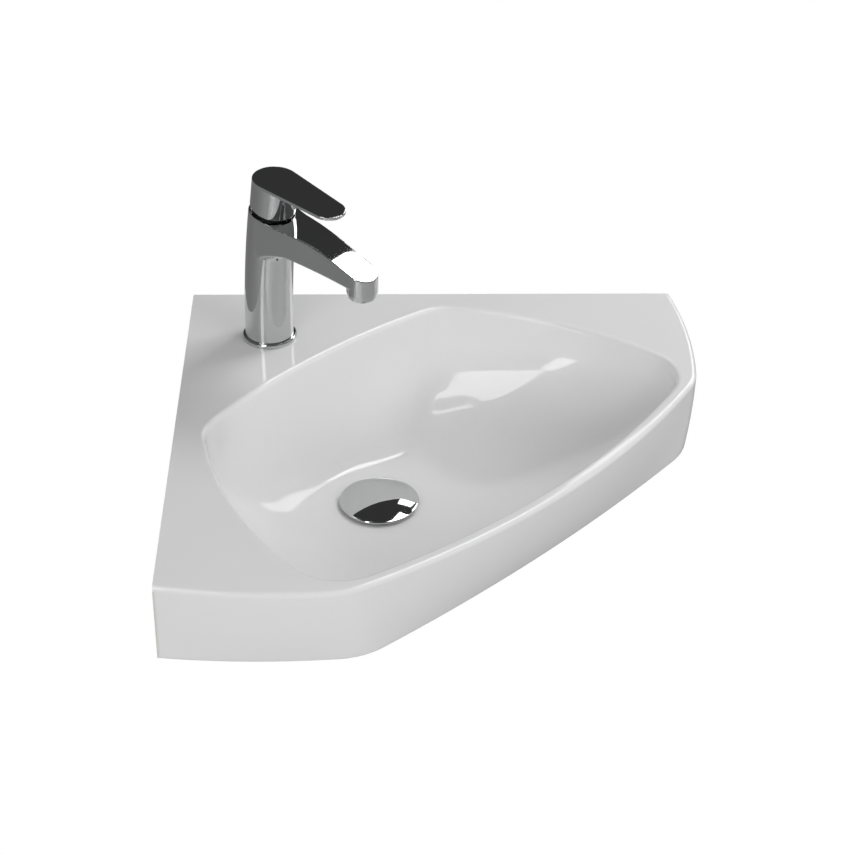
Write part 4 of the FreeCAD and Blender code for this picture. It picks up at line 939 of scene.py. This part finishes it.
marks_group, grain_group, flow_group = polish_marks(), moulded_grain(), glaze_flow()
finish = {
    "glaze": glazed(),
    "chrome": bright_metal("chrome", (.60, .605, .61), (.63, .635, .64), .02, .045, .12, .25),
    "steel": bright_metal("steel", (.42, .42, .43), (.52, .52, .53), .24, .38, 1.0, .8),
    "spring_steel": bright_metal("spring_steel", (.40, .40, .41), (.50, .50, .50), .18, .30, .6, .5),
    "brass": bright_metal("brass", (.62, .44, .20), (.74, .56, .28), .16, .32, 1.0, .7),
    "rubber": moulded("rubber", (.018, .018, .019), (.030, .030, .031), 1400.0, .55, .75, .6),
    "inner_plastic": moulded("inner_plastic", (.70, .70, .68), (.78, .78, .76), 1100.0, .38, .52, .35),
    "dark_plastic": moulded("dark_plastic", (.012, .012, .013), (.022, .022, .023), 1600.0, .32, .46, .4),
    "disc_ceramic": moulded("disc_ceramic", (.74, .72, .68), (.80, .78, .74), 2200.0, .12, .22, .15),
}
for name in ("chrome_body", "chrome_lever", "chrome_cap", "chrome_waste"):
    finish[name] = finish["chrome"]

make_basin()
make_tap()
make_fixing()
make_head()
make_waste()

# every piece, made here or kept from the CAD, takes its slot's finish
slot_of = {part["node"]: part["material_slot"] for part in frame["record"].get("subparts", [])}
for obj in [o for o in bpy.context.scene.objects if o.type == "MESH" and o.get("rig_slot")]:
    obj.data.materials.clear()
    obj.data.materials.append(finish[obj["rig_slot"]])
for name, node in frame["nodes"].items():
    for slot in node.material_slots:
        slot.material = finish[slot_of[name]]


# ---------------- camera, light

CAMERA_TURN, CAMERA_PLACE, CAMERA_LENS = (1.35, 33.49, .51), (.18004, -1.77275, 1.02199), 90.99


def camera():
    """The photograph's view; its turn is yaw, pitch down and roll in degrees."""
    yaw, pitch, roll = (math.radians(a) for a in CAMERA_TURN)
    forward = Vector((math.sin(yaw) * math.cos(pitch), math.cos(yaw) * math.cos(pitch), -math.sin(pitch)))
    right = Vector((math.cos(yaw), -math.sin(yaw), 0))
    up = right.cross(forward)
    c, s = math.cos(roll), math.sin(roll)
    right, up = c * right + s * up, -s * right + c * up
    turn = Matrix((right, up, -forward)).transposed().to_4x4()
    cam = bpy.data.cameras.new("camera")
    cam.lens, cam.sensor_width, cam.clip_start, cam.clip_end = CAMERA_LENS, 36.0, 0.05, 20.0
    obj = new_object("camera", cam)
    obj.matrix_world = Matrix.Translation(CAMERA_PLACE) @ turn
    bpy.context.scene.camera = obj


def toward(azimuth, elevation):
    """A direction from the basin; azimuth 0 is +Y, 90 is +X."""
    a, e = math.radians(azimuth), math.radians(elevation)
    return Vector((math.sin(a) * math.cos(e), math.cos(a) * math.cos(e), math.sin(e)))


ROOM_LIGHT = (.77, .31)       # what falls on the basin from below and from above
ROOM_SEEN = (.36, .10)        # what shows in its gloss, low and high
DARK_SIDE, DARK_SEEN = toward(0, 38), .045
BASIN_MIDDLE, PANEL_DISTANCE = (.2, -.2, -.03), 2.5
FLOOR_HALF, FLOOR_Z = 6, -.85


def world():
    """A white ground behind the basin. Its gloss shows a dim room, darkest behind and above."""
    w = bpy.data.worlds.new("studio")
    bpy.context.scene.world = w
    w.use_nodes = True
    tree = w.node_tree
    place = put(tree, "ShaderNodeTexCoord", {}).outputs["Generated"]
    height = put(tree, "ShaderNodeSeparateXYZ", {0: place}).outputs[2]
    light = spread(tree, height, -.3, .3, *ROOM_LIGHT)
    seen = spread(tree, height, -.1, .7, *ROOM_SEEN)
    facing = put(tree, "ShaderNodeVectorMath", {0: place, 1: DARK_SIDE}, operation="DOT_PRODUCT")
    share = spread(tree, facing.outputs["Value"], .74, .90, 0, 1)
    dark = put(tree, "ShaderNodeMix", {0: share, 2: seen, 3: DARK_SEEN}).outputs[0]
    path = put(tree, "ShaderNodeLightPath", {})
    level = put(tree, "ShaderNodeMix", {0: path.outputs["Is Glossy Ray"], 2: light, 3: dark}).outputs[0]
    level = put(tree, "ShaderNodeMix", {0: path.outputs["Is Camera Ray"], 2: level, 3: 1.0}).outputs[0]
    tree.links.new(level, tree.nodes["Background"].inputs["Strength"])
    tree.nodes["Background"].inputs["Color"].default_value = (1, 1, 1, 1)


def fill(name, azimuth, elevation, distance, size, level):
    """A soft lamp that only lights: level is what it adds to a white face turned to it."""
    light = bpy.data.lights.new(name, "AREA")
    light.shape, light.size, light.size_y = "RECTANGLE", *size
    light.energy = level * math.pi ** 2 * distance ** 2
    obj = new_object(name, light)
    back = toward(azimuth, elevation)
    place = Vector(BASIN_MIDDLE) + back * distance
    obj.matrix_world = Matrix.Translation(place) @ back.to_track_quat("Z", "Y").to_matrix().to_4x4()
    obj.visible_glossy = False


def panel(name, corners, radiance):
    """A flat white panel that only shows in gloss, by the directions of its corners."""
    mesh = bpy.data.meshes.new(name)
    points = [tuple(Vector(BASIN_MIDDLE) + toward(*c) * PANEL_DISTANCE) for c in corners]
    mesh.from_pydata(points, [], [tuple(range(len(points)))])
    obj = new_object(name, mesh)
    m, tree, _ = new_material(name)
    glow = put(tree, "ShaderNodeEmission", {"Strength": radiance})
    tree.links.new(glow.outputs[0], tree.nodes["Material Output"].inputs["Surface"])
    mesh.materials.append(m)
    obj.visible_camera = obj.visible_diffuse = obj.visible_shadow = False


def floor():
    """A pale floor well below the basin, white behind it."""
    mesh = bpy.data.meshes.new("floor")
    corners = [(x * FLOOR_HALF, y * FLOOR_HALF, FLOOR_Z) for x, y in ((-1, -1), (1, -1), (1, 1), (-1, 1))]
    mesh.from_pydata(corners, [], [(0, 1, 2, 3)])
    obj = new_object("floor", mesh)
    m, tree, shader = new_material("pale_floor")
    shader.inputs["Base Color"].default_value = (.5, .5, .5, 1)
    shader.inputs["Roughness"].default_value = .9
    white, mix = put(tree, "ShaderNodeEmission", {"Strength": 1.0}), tree.nodes.new("ShaderNodeMixShader")
    tree.links.new(put(tree, "ShaderNodeLightPath", {}).outputs["Is Camera Ray"], mix.inputs[0])
    tree.links.new(shader.outputs[0], mix.inputs[1])
    tree.links.new(white.outputs[0], mix.inputs[2])
    tree.links.new(mix.outputs[0], tree.nodes["Material Output"].inputs["Surface"])
    mesh.materials.append(m)


camera()
world()
panel("tall_panel", [(-152, 28), (-136, 20), (-135, 58), (-150, 65), (-158, 50), (-146, 45)], 4.5)
panel("edge_panel", [(-138, 20), (-134, -16), (-127, -16), (-134, 20)], 5.5)
panel("low_panel", [(20, 12), (62, 16), (34, 48), (20, 42)], 3.4)
panel("cover_panel", [(10, 34), (18, 34), (18, 40), (10, 40)], 3.4)
panel("high_panel", [(14, 48), (44, 48), (50, 68), (6, 68)], 7.0)
fill("right_fill", 130, 25, 2.2, (1.2, 1.0), .27)
fill("end_fill", -158, 20, 2.4, (1.4, 1.0), .33)
fill("back_fill", 46, 45, 1.8, (.8, .65), .39)
floor()
bpy.context.scene.view_settings.view_transform = "Standard"
